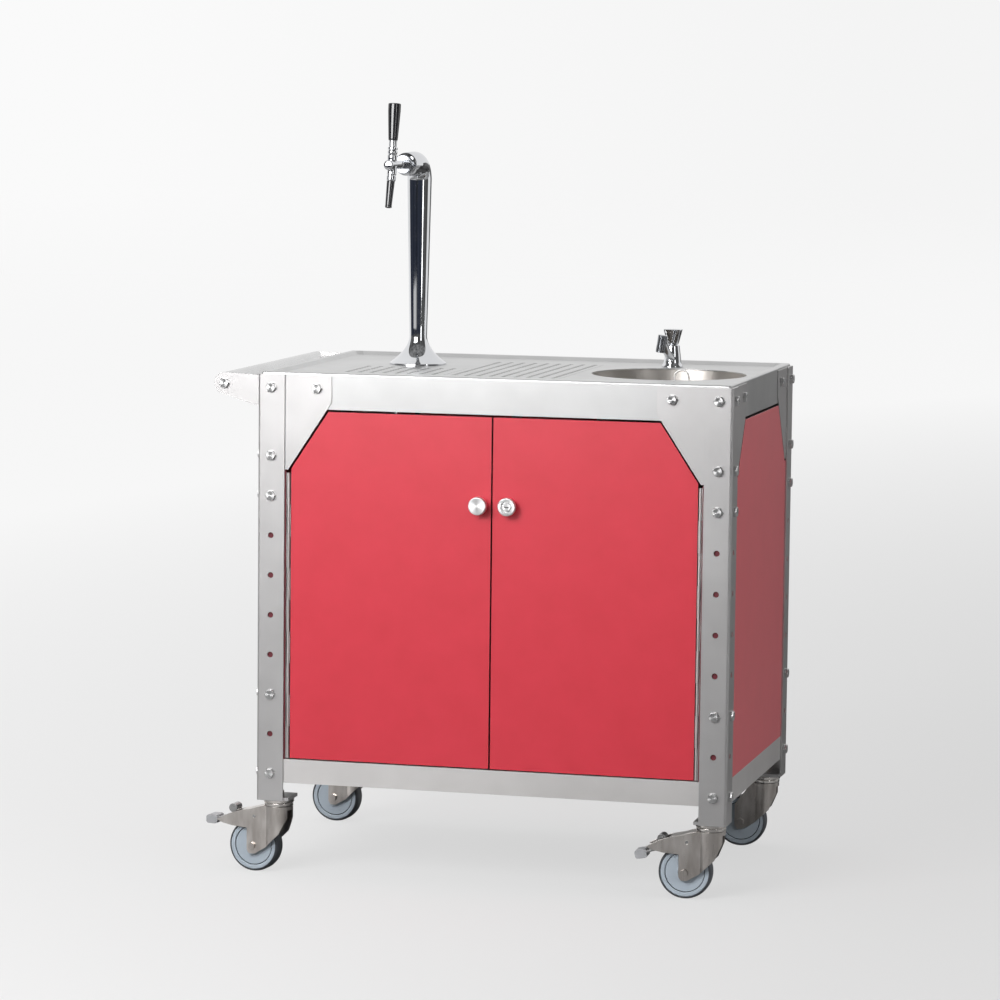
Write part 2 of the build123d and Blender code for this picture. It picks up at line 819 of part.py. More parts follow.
def lock_cam():
    """Flat cam behind the right door; it hangs down when the lock is open."""
    y0 = door_back + cam_gap
    half = cam_width / 2
    high = knob_height + half
    body = block(lock_x - half, lock_x + half, y0, y0 + cam_gauge, high - cam_length, high)
    y1 = y0 + cam_gauge
    return body - rod(lock_spindle_radius, (lock_x, y0 - 1, knob_height), (lock_x, y1 + 1, knob_height))


def door_right():
    """Right door, with the hole for the lock."""
    hole = rod(lock_hole_radius, (lock_x, door_front - 1, knob_height), (lock_x, door_back + 1, knob_height))
    return flip_x(door_panel()) - hole


def push_handle():
    """Tube between the two handle brackets."""
    x = -half_width - handle_bar_out
    end = half_depth - bracket_setback - bracket_gauge
    body = rod(handle_bar_radius, (x, -end, handle_bar_height), (x, end, handle_bar_height))
    bore = handle_bar_radius - handle_bar_wall
    return body - rod(bore, (x, -end - 1, handle_bar_height), (x, end + 1, handle_bar_height))


def handle_bracket():
    """Front ear of the push handle: an upright plate, a flange on the leg and a spigot in the tube."""
    bar_x = -half_width - handle_bar_out
    front = bracket_setback - half_depth
    back = front + bracket_gauge
    inner = -half_width
    top = leg_top - 2
    slope_x = bar_x - handle_bar_radius * 0.45
    slope_z = handle_bar_height - handle_bar_radius * 0.9
    body = plate_xz([(inner, top), (bar_x, handle_bar_height + handle_bar_radius), (bar_x, handle_bar_height),
                     (slope_x, slope_z), (inner - 8, bracket_bottom), (inner, bracket_bottom)], front, back)
    body += rod(handle_bar_radius, (bar_x, front, handle_bar_height), (bar_x, back, handle_bar_height))
    body += block(inner - bracket_gauge, inner, front, front + bracket_flange, bracket_bottom, top)
    spigot = handle_bar_radius - handle_bar_wall - spigot_clearance
    body += rod(spigot, (bar_x, front, handle_bar_height), (bar_x, back + spigot_length, handle_bar_height))
    body -= rod(hole_radius, (bar_x, front - 1, handle_bar_height),
                (bar_x, back + spigot_length + 1, handle_bar_height))
    bolt_y = hole_inset - half_depth
    outer = inner - bracket_gauge
    return body - rod(hole_radius, (outer - 1, bolt_y, top_hole), (inner + 1, bolt_y, top_hole))


def bolt(grip, nut):
    """Hexagon bolt along +Z with its head under the seat, and a nut past the grip where there is one."""
    head = Pos(0, 0, -bolt_head) * hexagon(bolt_flats, bolt_head)
    corner = bolt_flats / math.sqrt(3)
    head &= turned([(0, -bolt_head), (bolt_flats / 2 - 0.4, -bolt_head), (corner + 0.2, -bolt_head + 1.4),
                    (corner + 0.2, 1), (0, 1)])
    if not nut:
        return [head + rod(bolt_radius, (0, 0, -1), (0, 0, grip))]
    screw = head + rod(bolt_radius, (0, 0, -1), (0, 0, grip + nut_height + 2))
    ring = Pos(0, 0, grip) * hexagon(bolt_flats, nut_height)
    return [screw, ring - rod(bolt_radius, (0, 0, grip - 1), (0, 0, grip + nut_height + 1))]


def corner_bolts(name):
    """Every bolt and nut at one corner: two flanges alike, and the gusset's own bolts."""
    solids = []
    for flange in ("front", "side"):
        for step in bolted_steps:
            blind = step in panel_steps
            grip = leg_gauge + (insert_depth if blind else sheet)
            solids += seat_bolt(bolt(grip, not blind), flange, hole_inset, 0.0, hole_height(step))
        seat = -bracket_gauge if flange == "side" and "left" in name else 0.0
        solids += seat_bolt(bolt(skirt_inset + sheet - seat, True), flange, hole_inset, seat, top_hole)
        solids += seat_bolt(bolt(gusset_gauge + sheet, True), flange, gusset_bolt, leg_gauge, top_hole)
    return [at_corner(solid, name) for solid in solids]


def seat_bolt(solids, flange, reach, seat, height):
    """Bolts placed on a flange of the front left corner, pointing inwards."""
    if flange == "front":
        place = Plane(origin=(reach, seat, height), x_dir=(1, 0, 0), z_dir=(0, 1, 0))
    else:
        place = Plane(origin=(seat, reach, height), x_dir=(0, 1, 0), z_dir=(1, 0, 0))
    return [place * solid for solid in solids]


def handle_bolts():
    """The two bolts at the ends of the push handle."""
    x = -half_width - handle_bar_out
    y = bracket_setback - half_depth
    seat = Plane(origin=(x, y, handle_bar_height), x_dir=(1, 0, 0), z_dir=(0, 1, 0))
    front = seat * bolt(bracket_gauge + spigot_length, False)[0]
    return [front, mirror(front, about=Plane.XZ)]


def column_place(shape):
    """A shape made about the column's axis with the head towards -Y, turned and set in place."""
    return Pos(column_x, column_y, 0) * Rot(0, 0, column_turn) * shape


def column_bar(low_radius, high_radius, head_radius, start):
    """Shaft, bend and head of the column as one bar."""
    neck = column_axis_height - column_bend
    shaft = turned([(0, start), (low_radius, start), (high_radius, neck), (0, neck)])
    ring = Pos(0, 0, neck) * Circle(high_radius)
    bend = revolve(ring, Axis((0, -column_bend, neck), (1, 0, 0)), revolution_arc=90)
    head = Plane(origin=(0, -column_bend, column_axis_height), z_dir=(0, -1, 0)) * loft(
        [Circle(high_radius), Pos(0, 0, column_head_reach - column_bend) * Circle(head_radius)])
    return shaft + bend + head


def beer_column():
    """Hollow column: trumpet foot, tapered shaft and a head that bends forward, on a threaded shank."""
    foot = floor_top
    flare_top = foot + column_flare
    rim = foot + column_foot_rim
    flare_start = column_foot_radius - 3
    edge = Polyline((0, 0, foot), (column_foot_radius, 0, foot), (column_foot_radius, 0, rim - 1),
                    (flare_start, 0, rim + 1))
    flare = ThreePointArc((flare_start, 0, rim + 1), (column_flare_radius, 0, foot + column_flare_middle),
                          (column_radius_low, 0, flare_top))
    closing = Polyline((column_radius_low, 0, flare_top), (0, 0, flare_top), (0, 0, foot))
    body = revolve(make_face(edge + flare + closing), Axis.Z)
    body += column_bar(column_radius_low, column_radius_high, column_radius_high - 1.5, flare_top)
    shank_low = floor_bottom - column_shank_length
    body += rod(column_shank_radius, (0, 0, shank_low), (0, 0, foot + 1))
    bore = column_radius_low - column_wall
    body -= column_bar(bore, bore, bore, foot + 1)
    body -= rod(bore, (0, 0, shank_low - 1), (0, 0, foot + 2))
    return column_place(body)


def tap_point(reach, height):
    """Point on the middle plane of the tap, in the column's own frame."""
    return (0, -reach, column_axis_height + height)


def tap_collar():
    """Knurled union nut between the column's head and the tap."""
    ring = extrude(Circle(collar_radius), amount=collar_length)
    notch = Pos(collar_radius, 0, collar_length / 2) * Box(1.6, 2.2, collar_length - 4)
    for i in range(collar_knurls):
        ring -= Rot(0, 0, 360 * i / collar_knurls) * notch
    ring -= extrude(Circle(tap_body_radius), amount=collar_length)
    return column_place(Plane(origin=tap_point(column_head_reach, 0), z_dir=(0, -1, 0)) * ring)


def spout_point(length):
    """Point on the tap spout's leaning axis."""
    lean = math.radians(spout_lean)
    return tap_point(tap_reach + length * math.sin(lean), -length * math.cos(lean))


def tap_body():
    """Tap body: shank, front cap, spout boss and the bonnet that holds the lever's ball."""
    body = rod(tap_body_radius, tap_point(column_head_reach, 0), tap_point(tap_cap_reach, 0))
    body += Pos(*tap_point(tap_cap_reach, 0)) * Sphere(tap_cap_radius)
    body += rod(bonnet_radius, tap_point(tap_reach, 0), tap_point(tap_reach, bonnet_height))
    body += rod(tap_spout_radius, tap_point(tap_reach, 0), spout_point(tap_spout_length))
    body -= Pos(*tap_point(tap_reach, lever_ball_rise)) * Sphere(lever_ball_radius + lever_gap)
    return column_place(body)


def tap_nozzle():
    """Black pouring nozzle pressed on the spout boss."""
    start = spout_point(tap_spout_length)
    end = spout_point(tap_spout_length + nozzle_length)
    seat = Plane(origin=start, z_dir=Vector(*end) - Vector(*start))
    tube = turned([(nozzle_bore, 0), (nozzle_radius_high, 0), (nozzle_radius_low, nozzle_length),
                   (nozzle_bore, nozzle_length)])
    return column_place(seat * tube)


def lever_place(shape):
    """A shape made upright about the lever's ball, leaned back and set on the tap."""
    return column_place(Pos(*tap_point(tap_reach, lever_ball_rise)) * Rot(-lever_lean, 0, 0) * shape)


def tap_lever():
    """Lever: ball joint, stepped ferrule and the stud inside the grip."""
    ball = Sphere(lever_ball_radius)
    stem = turned([(0, 0), (ferrule_radius, 0), (ferrule_radius, ferrule_length - 2),
                   (ferrule_radius - 1, ferrule_length), (0, ferrule_length)])
    return lever_place(ball + stem)


def tap_grip():
    """Black lever grip, wider towards its flat top."""
    top = ferrule_length + grip_length
    return lever_place(turned([(0, ferrule_length), (grip_radius_low - 1, ferrule_length),
                               (grip_radius_low, ferrule_length + 2), (grip_radius_high, top - 14),
                               (grip_radius_high, top - 1), (grip_radius_high - 1, top), (0, top)]))


def faucet_body():
    """Cast faucet: foot, pillar, rising spout and the threaded shank under the worktop."""
    foot = floor_top
    pillar_top = foot + faucet_height
    body = turned([(0, foot), (faucet_foot_radius, foot), (faucet_foot_radius, foot + 3),
                   (faucet_radius_low, foot + 9), (faucet_radius, pillar_top - 2),
                   (faucet_radius - 2, pillar_top), (0, pillar_top)])
    meeting = aerator_seat().from_local_coords((0, 0, aerator_neck))
    body += rod(spout_radius, (0, 0, foot + spout_start), meeting)
    body -= aerator_seat() * extrude(Circle(aerator_radius), amount=aerator_length)
    body += rod(faucet_shank_radius, (0, 0, floor_bottom - faucet_shank_length), (0, 0, foot + 1))
    bore = handle_neck_radius + handle_neck_clearance
    body -= rod(bore, (0, 0, pillar_top - 12), (0, 0, pillar_top + 1))
    return Pos(faucet_x, faucet_y, 0) * body


def aerator_seat():
    """Plane on the aerator's top, looking down its axis; it leans to the left."""
    tilt = math.radians(aerator_tilt)
    return Plane(origin=(0, -spout_reach, floor_top + aerator_rise), z_dir=(-math.sin(tilt), 0, -math.cos(tilt)))


def faucet_aerator():
    """Knurled aerator on the spout's end; the spout meets it above the knurls."""
    shell = extrude(Circle(aerator_radius), amount=aerator_length)
    shell -= Pos(0, 0, aerator_length - 6) * extrude(Circle(aerator_radius - 2), amount=6)
    knurl_start = aerator_neck + spout_radius + 2
    knurl_length = aerator_length - 2 - knurl_start
    notch = Pos(aerator_radius, 0, knurl_start + knurl_length / 2) * Box(1.2, 1.6, knurl_length)
    for i in range(aerator_knurls):
        shell -= Rot(0, 0, 360 * i / aerator_knurls) * notch
    return Pos(faucet_x, faucet_y, 0) * (aerator_seat() * shell)


def faucet_handle():
    """Flared turning handle on its neck."""
    low = floor_top + faucet_height + handle_gap
    foot = Pos(0, 0, low) * Circle(faucet_radius - 2)
    top = Pos(0, 0, low + handle_height) * RectangleRounded(handle_width, handle_depth, 6)
    body = loft([foot, top])
    body += rod(handle_neck_radius, (0, 0, low - 10), (0, 0, low + 1))
    return Pos(faucet_x, faucet_y, 0) * body


def caster_place(shape, name):
    """A shape made about the swivel axis with the wheel towards -X, set at the named corner."""
    x = half_width - caster_inset
    y = half_depth - caster_inset
    x = x if "right" in name else -x
    y = y if "rear" in name else -y
    return Pos(x, y, 0) * Rot(0, 0, -caster_turns[name]) * shape


def caster_head():
    """Fixed bearing head under a leg: two rings, the kingpin and its nut."""
    low = crown_top + swivel_gap
    waist = low + head_height / 2
    edge = head_radius - 1.5
    body = turned([(0, low), (edge - 1, low), (edge, low + 1), (edge, waist - 1), (edge - head_waist, waist),
                   (head_radius, waist + 1), (head_radius, leg_bottom - 1), (head_radius - 1, leg_bottom),
                   (0, leg_bottom)])
    body += rod(kingpin_radius, (0, 0, crown_bottom - 6), (0, 0, leg_bottom + foot_plate_gauge + 10))
    washer = kingpin_radius + 3
    body += rod(washer, (0, 0, crown_bottom - 6), (0, 0, crown_bottom - swivel_gap))
    nut = Pos(0, 0, leg_bottom + foot_plate_gauge) * hexagon(19, 9)
    return body + nut


def cheek_outline(brake):
    """Side view of the fork, from the axle up to the crown."""
    axle = -fork_trail
    level = wheel_radius
    lower = [(axle - 11, level + 34), (axle - 11, level - 8), (axle - 6, level - 15), (axle + 5, level - 15),
             (axle + 27, level - 2), (10, level + 26), (crown_radius - 1, crown_bottom - 9),
             (crown_radius, crown_top)]
    if not brake:
        return lower + [(-crown_radius + 2, crown_top)]
    tip = axle - brake_reach
    arm = [(-crown_radius + 2, crown_top), (axle - 6, wheel_top + 20), (axle - 28, wheel_top + 15.5),
           (axle - 48, wheel_top + 8.5), (tip, wheel_top - 4.5), (tip + 13, wheel_top - 10),
           (tip + 33, wheel_top - 14)]
    return lower + arm


def cheek_walls(far):
    """Top view of the fork's bent sheet: flat cheeks that swell into round walls under the crown."""
    outer = Rectangle(far, 2 * cheek_outer, align=(Align.MAX, Align.CENTER)) + Circle(crown_radius)
    inner = Rectangle(far, 2 * cheek_inner, align=(Align.MAX, Align.CENTER))
    inner += Circle(crown_radius - fork_gauge)
    mouth = Rectangle(crown_radius, crown_radius, align=(Align.MIN, Align.CENTER))
    return outer - inner - mouth


def caster_fork(brake):
    """Bent fork with its crown; a braked one has a housing for the pedal. The axle bolt is its own solid."""
    axle = -fork_trail
    far = fork_trail + brake_reach + 10
    walls = extrude(cheek_walls(far), amount=crown_top)
    side = plate_xz(cheek_outline(brake), -crown_radius - 1, crown_radius + 1)
    body = walls & side
    body += Pos(0, 0, crown_bottom) * extrude(Circle(crown_radius), amount=crown_gauge)
    if brake:
        roof = [(-crown_radius + 2, crown_top - 0.5), (axle - 6, wheel_top + 20),
                (axle - 28, wheel_top + 15.5), (axle - 28, wheel_top + 13.5), (axle - 6, wheel_top + 18),
                (-crown_radius + 2, crown_bottom)]
        body += plate_xz(roof, -cheek_outer, cheek_outer)
        pin = brake_pivot_radius + brake_pivot_clearance
        pivot_z = wheel_top + brake_pivot_rise
        body -= rod(pin, (brake_pivot_x, -crown_radius, pivot_z), (brake_pivot_x, crown_radius, pivot_z))
    body -= rod(kingpin_radius + kingpin_clearance, (0, 0, crown_bottom - 1), (0, 0, crown_top + 1))
    body -= rod(axle_radius + hub_bore_clearance, (axle, -crown_radius, wheel_radius),
                (axle, crown_radius, wheel_radius))
    return [body, axle_bolt()]


def axle_bolt():
    """Axle through the wheel with a hexagon head and nut."""
    seat = Plane(origin=(-fork_trail, -cheek_outer, wheel_radius), x_dir=(0, 0, 1), z_dir=(0, -1, 0))
    head = seat * hexagon(13, 5)
    nut = mirror(head, about=Plane.XZ)
    end = cheek_outer + 1
    return head + nut + rod(axle_radius, (-fork_trail, -end, wheel_radius), (-fork_trail, end, wheel_radius))


def wheel_turned(points):
    """Solid of revolution about the axle, from (radius, sideways) points."""
    spin = turned(points)
    return Plane(origin=(-fork_trail, 0, wheel_radius), z_dir=(0, 1, 0)) * spin


def wheel_hub():
    """Plastic wheel core with a groove round its face and a bored boss."""
    rim = wheel_radius - tread_depth
    half = wheel_width / 2 - 1
    bore = axle_radius + hub_bore_clearance
    boss = cheek_inner - 0.8
    groove_in = rim_groove_radius - rim_groove_width / 2
    groove_out = rim_groove_radius + rim_groove_width / 2
    near = [(bore, boss), (bore + 7, boss), (bore + 8, half - 2), (groove_in, half - 2),
            (groove_in, half - 4), (groove_out, half - 4), (groove_out, half - 1), (rim - 2, half),
            (rim, half)]
    return wheel_turned(near + [(r, -s) for r, s in reversed(near)])


def wheel_tyre():
    """Rubber tread round the core."""
    rim = wheel_radius - tread_depth
    half = wheel_width / 2
    near = [(rim, half - 1), (rim + 1, half), (wheel_radius - 2.5, half - 1.5),
            (wheel_radius - 0.6, half - 5), (wheel_radius, half - 9)]
    return wheel_turned(near + [(r, -s) for r, s in reversed(near)])


def brake_pedal(pressed):
    """Rocker in the brake housing: pivot pin, plate, pad over the tyre, release roller and a plastic tip."""
    pivot = (brake_pivot_x, wheel_top + brake_pivot_rise)
    half = cheek_inner - pedal_side_gap
    tip_x = -fork_trail - brake_reach
    fall = (tip_x - 2 - pivot[0]) * math.tan(math.radians(pedal_fall))
    end_z = pivot[1] + fall
    plate_points = [(pivot[0] + 6, pivot[1] - pedal_gauge / 2), (pivot[0] + 6, pivot[1] + pedal_gauge / 2),
                    (pivot[0], pivot[1] + pedal_gauge), (tip_x - 2, end_z + pedal_gauge / 2),
                    (tip_x - 2, end_z - pedal_gauge / 2)]
    body = plate_xz(plate_points, -half, half)
    body += rod(brake_pivot_radius + 2, (pivot[0], -half, pivot[1]), (pivot[0], half, pivot[1]))
    body += rod(brake_pivot_radius, (pivot[0], -cheek_outer, pivot[1]), (pivot[0], cheek_outer, pivot[1]))
    press = math.radians(pedal_press)
    pad_drop = (brake_pivot_rise - brake_pad_gap - brake_pad_back * math.sin(press)) / math.cos(press)
    body += block(pivot[0] - brake_pad_back, pivot[0], -half, half, pivot[1] - pad_drop, pivot[1])
    roller_x = -fork_trail - pedal_roller_back
    web_z = pivot[1] + (roller_x - pivot[0]) * math.tan(math.radians(pedal_fall))
    roller_z = web_z + pedal_roller_rise
    roller_half = half - 5
    body += block(roller_x - pedal_roller_web / 2, roller_x + pedal_roller_web / 2, -roller_half, roller_half,
                  web_z, roller_z)
    body += rod(pedal_roller_radius, (roller_x, -roller_half, roller_z), (roller_x, roller_half, roller_z))
    tip_z = end_z - pedal_tip_drop
    tip = block(tip_x - pedal_tip_length, tip_x - 1, -half + 1, half - 1, tip_z - pedal_tip_height / 2,
                tip_z + pedal_tip_height / 2)
    body += fillet(tip.edges().filter_by(Axis.Y), 5)
    turn = -pedal_press if pressed else 0.0
    hinge = Axis((pivot[0], 0, pivot[1]), (0, 1, 0))
    return body.rotate(hinge, turn)


def beer_cooler():
    """Flow cooler that chills the beer on its way up: casing, feet, grille slots and an outlet stub."""
    low = tray_top + cooler_foot
    body = block(cooler_left, cooler_right, cooler_front, cooler_back, low, cooler_top)
    body = fillet(body.edges().filter_by(Axis.Z), cooler_round)
    for i in range(cooler_slots):
        z = low + cooler_slot_start + i * cooler_slot_pitch
        body -= block(cooler_left + cooler_slot_inset, cooler_right - cooler_slot_inset, cooler_front - 1,
                      cooler_front + cooler_slot_depth, z, z + cooler_slot_height)
    for x in (cooler_left + cooler_foot_inset, cooler_right - cooler_foot_inset):
        for y in (cooler_front + cooler_foot_inset, cooler_back - cooler_foot_inset):
            body += rod(cooler_foot_radius, (x, y, tray_top), (x, y, low + 1))
    return body + rod(line_radius + cooler_stub_wall, (cooler_outlet_x, cooler_outlet_y, cooler_top - 1),
                      (cooler_outlet_x, cooler_outlet_y, cooler_top + cooler_stub_length))


def canister(front, back):
    """Water canister with a neck, and its screw cap as a second solid."""
    high = tray_top + canister_height
    body = block(canister_left, canister_right, front, back, tray_top, high)
    body = fillet(body.edges(), canister_round)
    y = (front + back) / 2
    body += rod(canister_neck_radius, (canister_x, y, high - 1), (canister_x, y, high + canister_neck_height))
    cap_low = high + canister_neck_height
    cap = turned([(0, cap_low), (canister_cap_radius, cap_low), (canister_cap_radius, cap_top - 2),
                  (canister_cap_radius - 2, cap_top), (0, cap_top)], canister_x, y)
    return [body, cap]


def line(points, radius, bends):
    """Rigid tube along straight runs joined by arcs."""
    path = FilletPolyline(*points, radius=bends)
    return sweep(Plane(origin=path @ 0, z_dir=path % 0) * Circle(radius), path=path)


def water_line():
    """Fresh water, from the front canister up to the faucet's shank."""
    shank_end = floor_bottom - faucet_shank_length
    level = (cap_top + shank_end) / 2
    return line([(canister_x, fresh_y, cap_top), (canister_x, fresh_y, level), (canister_x, faucet_y, level),
                 (faucet_x, faucet_y, level), (faucet_x, faucet_y, shank_end)], line_radius, line_bend)


def drain_lines():
    """Waste water, from the sink's drain and the drip pan down to the rear canister."""
    sink_low = sink_floor - drain_length
    sink_level = (sink_low + cap_top) / 2
    sink_end = canister_x - drain_line_spread / 2
    sink_route = [(drain_x, drain_y, sink_low), (drain_x, drain_y, sink_level),
                  (sink_end, waste_y, sink_level), (sink_end, waste_y, cap_top)]
    pan_low = floor_bottom - pan_depth - pan_drain_length
    pan_level = (pan_low + cap_top) / 2
    pan_end = canister_x + drain_line_spread / 2
    pan_route = [(pan_drain_x, pan_drain_y, pan_low), (pan_drain_x, pan_drain_y, pan_level),
                 (pan_end, pan_drain_y, pan_level), (pan_end, waste_y, pan_level),
                 (pan_end, waste_y, cap_top)]
    return [line(route, drain_line_radius, drain_line_bend) for route in (sink_route, pan_route)]


def beer_line():
    """Beer, from the cooler up through the column to the tap."""
    start = cooler_top + cooler_stub_length
    level = (start + floor_bottom) / 2
    turn = math.radians(column_turn)
    end_x = column_x + column_head_reach * math.sin(turn)
    end_y = column_y - column_head_reach * math.cos(turn)
    route = [(cooler_outlet_x, cooler_outlet_y, start), (cooler_outlet_x, cooler_outlet_y, level),
             (column_x, column_y, level), (column_x, column_y, column_axis_height),
             (end_x, end_y, column_axis_height)]
    return line(route, line_radius, [line_bend, line_bend, column_bend])


def make_nodes():
    """Every piece under its node's name."""
    nodes = {}
    base_leg = leg()
    for name in corner_names:
        nodes["leg_" + name] = [at_corner(base_leg, name)]
    base_gusset = gusset()
    nodes["corner_gussets"] = [at_corner(base_gusset, name) for name in corner_names]
    nodes["worktop"] = [worktop()]
    nodes["drip_grid_front"] = [drip_grid(front_grid_edges())]
    nodes["drip_grid_right"] = [drip_grid(right_grid_edges())]
    nodes["drip_pan"] = [drip_pan()]
    nodes["sink_bowl"] = [sink_bowl()]
    nodes["sink_drain"] = [sink_drain()]
    nodes["standpipe"] = [standpipe()]
    nodes["bottom_tray"] = [bottom_tray()]
    nodes["side_panel_left"] = [side_panel()]
    nodes["side_panel_right"] = [flip_x(side_panel())]
    nodes["rear_panel"] = [rear_panel()]
    nodes["door_posts"] = [door_post(), flip_x(door_post())]
    nodes["hinge_frame_leaves"] = [hinge_frame_leaf(), flip_x(hinge_frame_leaf())]
    nodes["hinge_pins"] = [hinge_pin(), flip_x(hinge_pin())]
    nodes["door_left"] = [door_panel()]
    nodes["hinge_door_leaf_left"] = [hinge_door_leaf()]
    nodes["door_knob"] = [door_knob()]
    nodes["door_right"] = [door_right()]
    nodes["hinge_door_leaf_right"] = [flip_x(hinge_door_leaf())]
    nodes["lock_rose"] = [lock_rose()]
    nodes["lock_knob"] = [lock_knob()]
    nodes["lock_cam"] = [lock_cam()]
    nodes["push_handle"] = [push_handle()]
    nodes["handle_brackets"] = [handle_bracket(), mirror(handle_bracket(), about=Plane.XZ)]
    nodes["frame_bolts"] = handle_bolts()
    for name in corner_names:
        nodes["frame_bolts"] += corner_bolts(name)
    nodes["beer_column"] = [beer_column()]
    nodes["tap_collar"] = [tap_collar()]
    nodes["tap_body"] = [tap_body()]
    nodes["tap_nozzle"] = [tap_nozzle()]
    nodes["tap_lever"] = [tap_lever()]
    nodes["tap_grip"] = [tap_grip()]
    nodes["faucet_body"] = [faucet_body()]
    nodes["faucet_aerator"] = [faucet_aerator()]
    nodes["faucet_handle"] = [faucet_handle()]
    nodes["caster_heads"] = [caster_place(caster_head(), name) for name in corner_names]
    for name in corner_names:
        fork = caster_fork("front" in name)
        nodes["caster_fork_" + name] = [caster_place(solid, name) for solid in fork]
        nodes["wheel_hub_" + name] = [caster_place(wheel_hub(), name)]
        nodes["wheel_tyre_" + name] = [caster_place(wheel_tyre(), name)]
    nodes["brake_pedal_left"] = [caster_place(brake_pedal(False), "front_left")]
    nodes["brake_pedal_right"] = [caster_place(brake_pedal(True), "front_right")]
    nodes["beer_cooler"] = [beer_cooler()]
    nodes["fresh_water_canister"] = canister(fresh_front, fresh_back)
    nodes["waste_water_canister"] = canister(waste_front, waste_back)
    nodes["water_line"] = [water_line()]
    nodes["drain_lines"] = drain_lines()
    nodes["beer_line"] = [beer_line()]
    return nodes


def middle_of(nodes):
    """Point under the middle of the whole object."""
    boxes = [solid.bounding_box() for solids in nodes.values() for solid in solids]
    left = min(box.min.X for box in boxes)
    right = max(box.max.X for box in boxes)
    front = min(box.min.Y for box in boxes)
    back = max(box.max.Y for box in boxes)
    low = min(box.min.Z for box in boxes)
    return Vector((left + right) / 2, (front + back) / 2, low)


nodes = make_nodes()
origin = middle_of(nodes)
os.makedirs("parts", exist_ok=True)
for node_name, node_solids in nodes.items():
    moved = [Pos(-origin.X, -origin.Y, -origin.Z) * solid for solid in node_solids]
    piece = moved[0] if len(moved) == 1 else Compound(children=moved)
    export_step(piece, os.path.join("parts", node_name + ".step"))
print("origin in the cart's frame", round(origin.X, 4), round(origin.Y, 4), round(origin.Z, 4))
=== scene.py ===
import json
import math

import bmesh
import bpy
from mathutils import Matrix, Vector

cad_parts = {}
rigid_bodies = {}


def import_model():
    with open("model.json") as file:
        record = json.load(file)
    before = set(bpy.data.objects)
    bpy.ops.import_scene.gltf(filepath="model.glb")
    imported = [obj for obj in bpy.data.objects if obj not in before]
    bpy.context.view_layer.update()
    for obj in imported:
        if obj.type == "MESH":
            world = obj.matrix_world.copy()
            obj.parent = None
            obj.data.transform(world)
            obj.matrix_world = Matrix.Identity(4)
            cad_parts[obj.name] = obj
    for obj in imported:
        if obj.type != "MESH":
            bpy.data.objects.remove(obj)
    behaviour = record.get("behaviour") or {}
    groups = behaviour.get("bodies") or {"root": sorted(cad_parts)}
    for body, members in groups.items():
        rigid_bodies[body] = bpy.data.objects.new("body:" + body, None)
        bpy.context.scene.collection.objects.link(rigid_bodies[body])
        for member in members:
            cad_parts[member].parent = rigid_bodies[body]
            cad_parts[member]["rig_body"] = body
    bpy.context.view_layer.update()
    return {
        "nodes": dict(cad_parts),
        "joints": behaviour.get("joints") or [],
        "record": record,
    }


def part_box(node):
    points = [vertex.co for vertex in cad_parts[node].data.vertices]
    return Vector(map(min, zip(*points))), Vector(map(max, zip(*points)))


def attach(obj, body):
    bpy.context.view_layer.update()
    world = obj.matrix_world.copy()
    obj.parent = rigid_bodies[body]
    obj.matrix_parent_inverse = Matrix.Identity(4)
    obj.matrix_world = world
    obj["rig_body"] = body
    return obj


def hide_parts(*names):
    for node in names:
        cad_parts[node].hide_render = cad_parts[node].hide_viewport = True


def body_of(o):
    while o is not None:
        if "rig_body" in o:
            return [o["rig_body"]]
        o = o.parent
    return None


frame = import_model()
nodes = frame["nodes"]
slot_of = {part["node"]: part["material_slot"] for part in frame["record"]["subparts"]}
joint_named = {joint["name"]: joint for joint in frame["joints"]}
scene = bpy.context.scene
MM = 0.001
sides = ("left", "right")
corners = ("front_left", "front_right", "rear_left", "rear_right")


# Shader nodes, in the tree of a material or of the world; noise mostly lies between its low and high value

noise_low = 0.3
noise_high = 0.7
noise_roughness = 0.6
relief_depth = 0.3 * MM


def new_material(name):
    mat = bpy.data.materials.new(name)
    mat.use_nodes = True
    return mat, mat.node_tree.nodes["Principled BSDF"]


def add(owner, kind, **settings):
    """A new node. A setting goes to the input of its name or, where there is none, to the node itself."""
    made = owner.node_tree.nodes.new(kind)
    for key, value in settings.items():
        if key in made.inputs:
            made.inputs[key].default_value = value
        else:
            setattr(made, key, value)
    return made


def wire(owner, out, into):
    owner.node_tree.links.new(out, into)


def mapped(mat, **settings):
    """The piece's own coordinates, moved and scaled."""
    place = add(mat, "ShaderNodeTexCoord")
    mapping = add(mat, "ShaderNodeMapping", **settings)
    wire(mat, place.outputs["Object"], mapping.inputs["Vector"])
    return mapping.outputs["Vector"]


def grain(mat, stretch, detail=3.0):
    """Noise in the piece's own coordinates; a small number in stretch draws it out along that axis."""
    noise = add(mat, "ShaderNodeTexNoise", Scale=1.0, Detail=detail, Roughness=noise_roughness)
    wire(mat, mapped(mat, Scale=stretch), noise.inputs["Vector"])
    return noise.outputs["Fac"]


def remap(owner, value, old, new, **settings):
    """A number carried over from the old range to the new one."""
    made = add(owner, "ShaderNodeMapRange", **settings)
    for name, bound in zip(("From Min", "From Max", "To Min", "To Max"), (*old, *new)):
        made.inputs[name].default_value = bound
    wire(owner, value, made.inputs["Value"])
    return made.outputs["Result"]


def ramp(mat, fac, stops):
    """The colour at fac among (share, colour) stops."""
    made = add(mat, "ShaderNodeValToRGB")
    elements = made.color_ramp.elements
    while len(elements) < len(stops):
        elements.new(0.5)
    for element, (share, colour) in zip(elements, stops):
        element.position = share
        element.color = (*colour, 1)
    wire(mat, fac, made.inputs["Fac"])
    return made.outputs["Color"]


def tint(mat, noise, low, high, into):
    """A colour between low and high by noise."""
    wire(mat, ramp(mat, noise, [(noise_low, low), (noise_high, high)]), into)


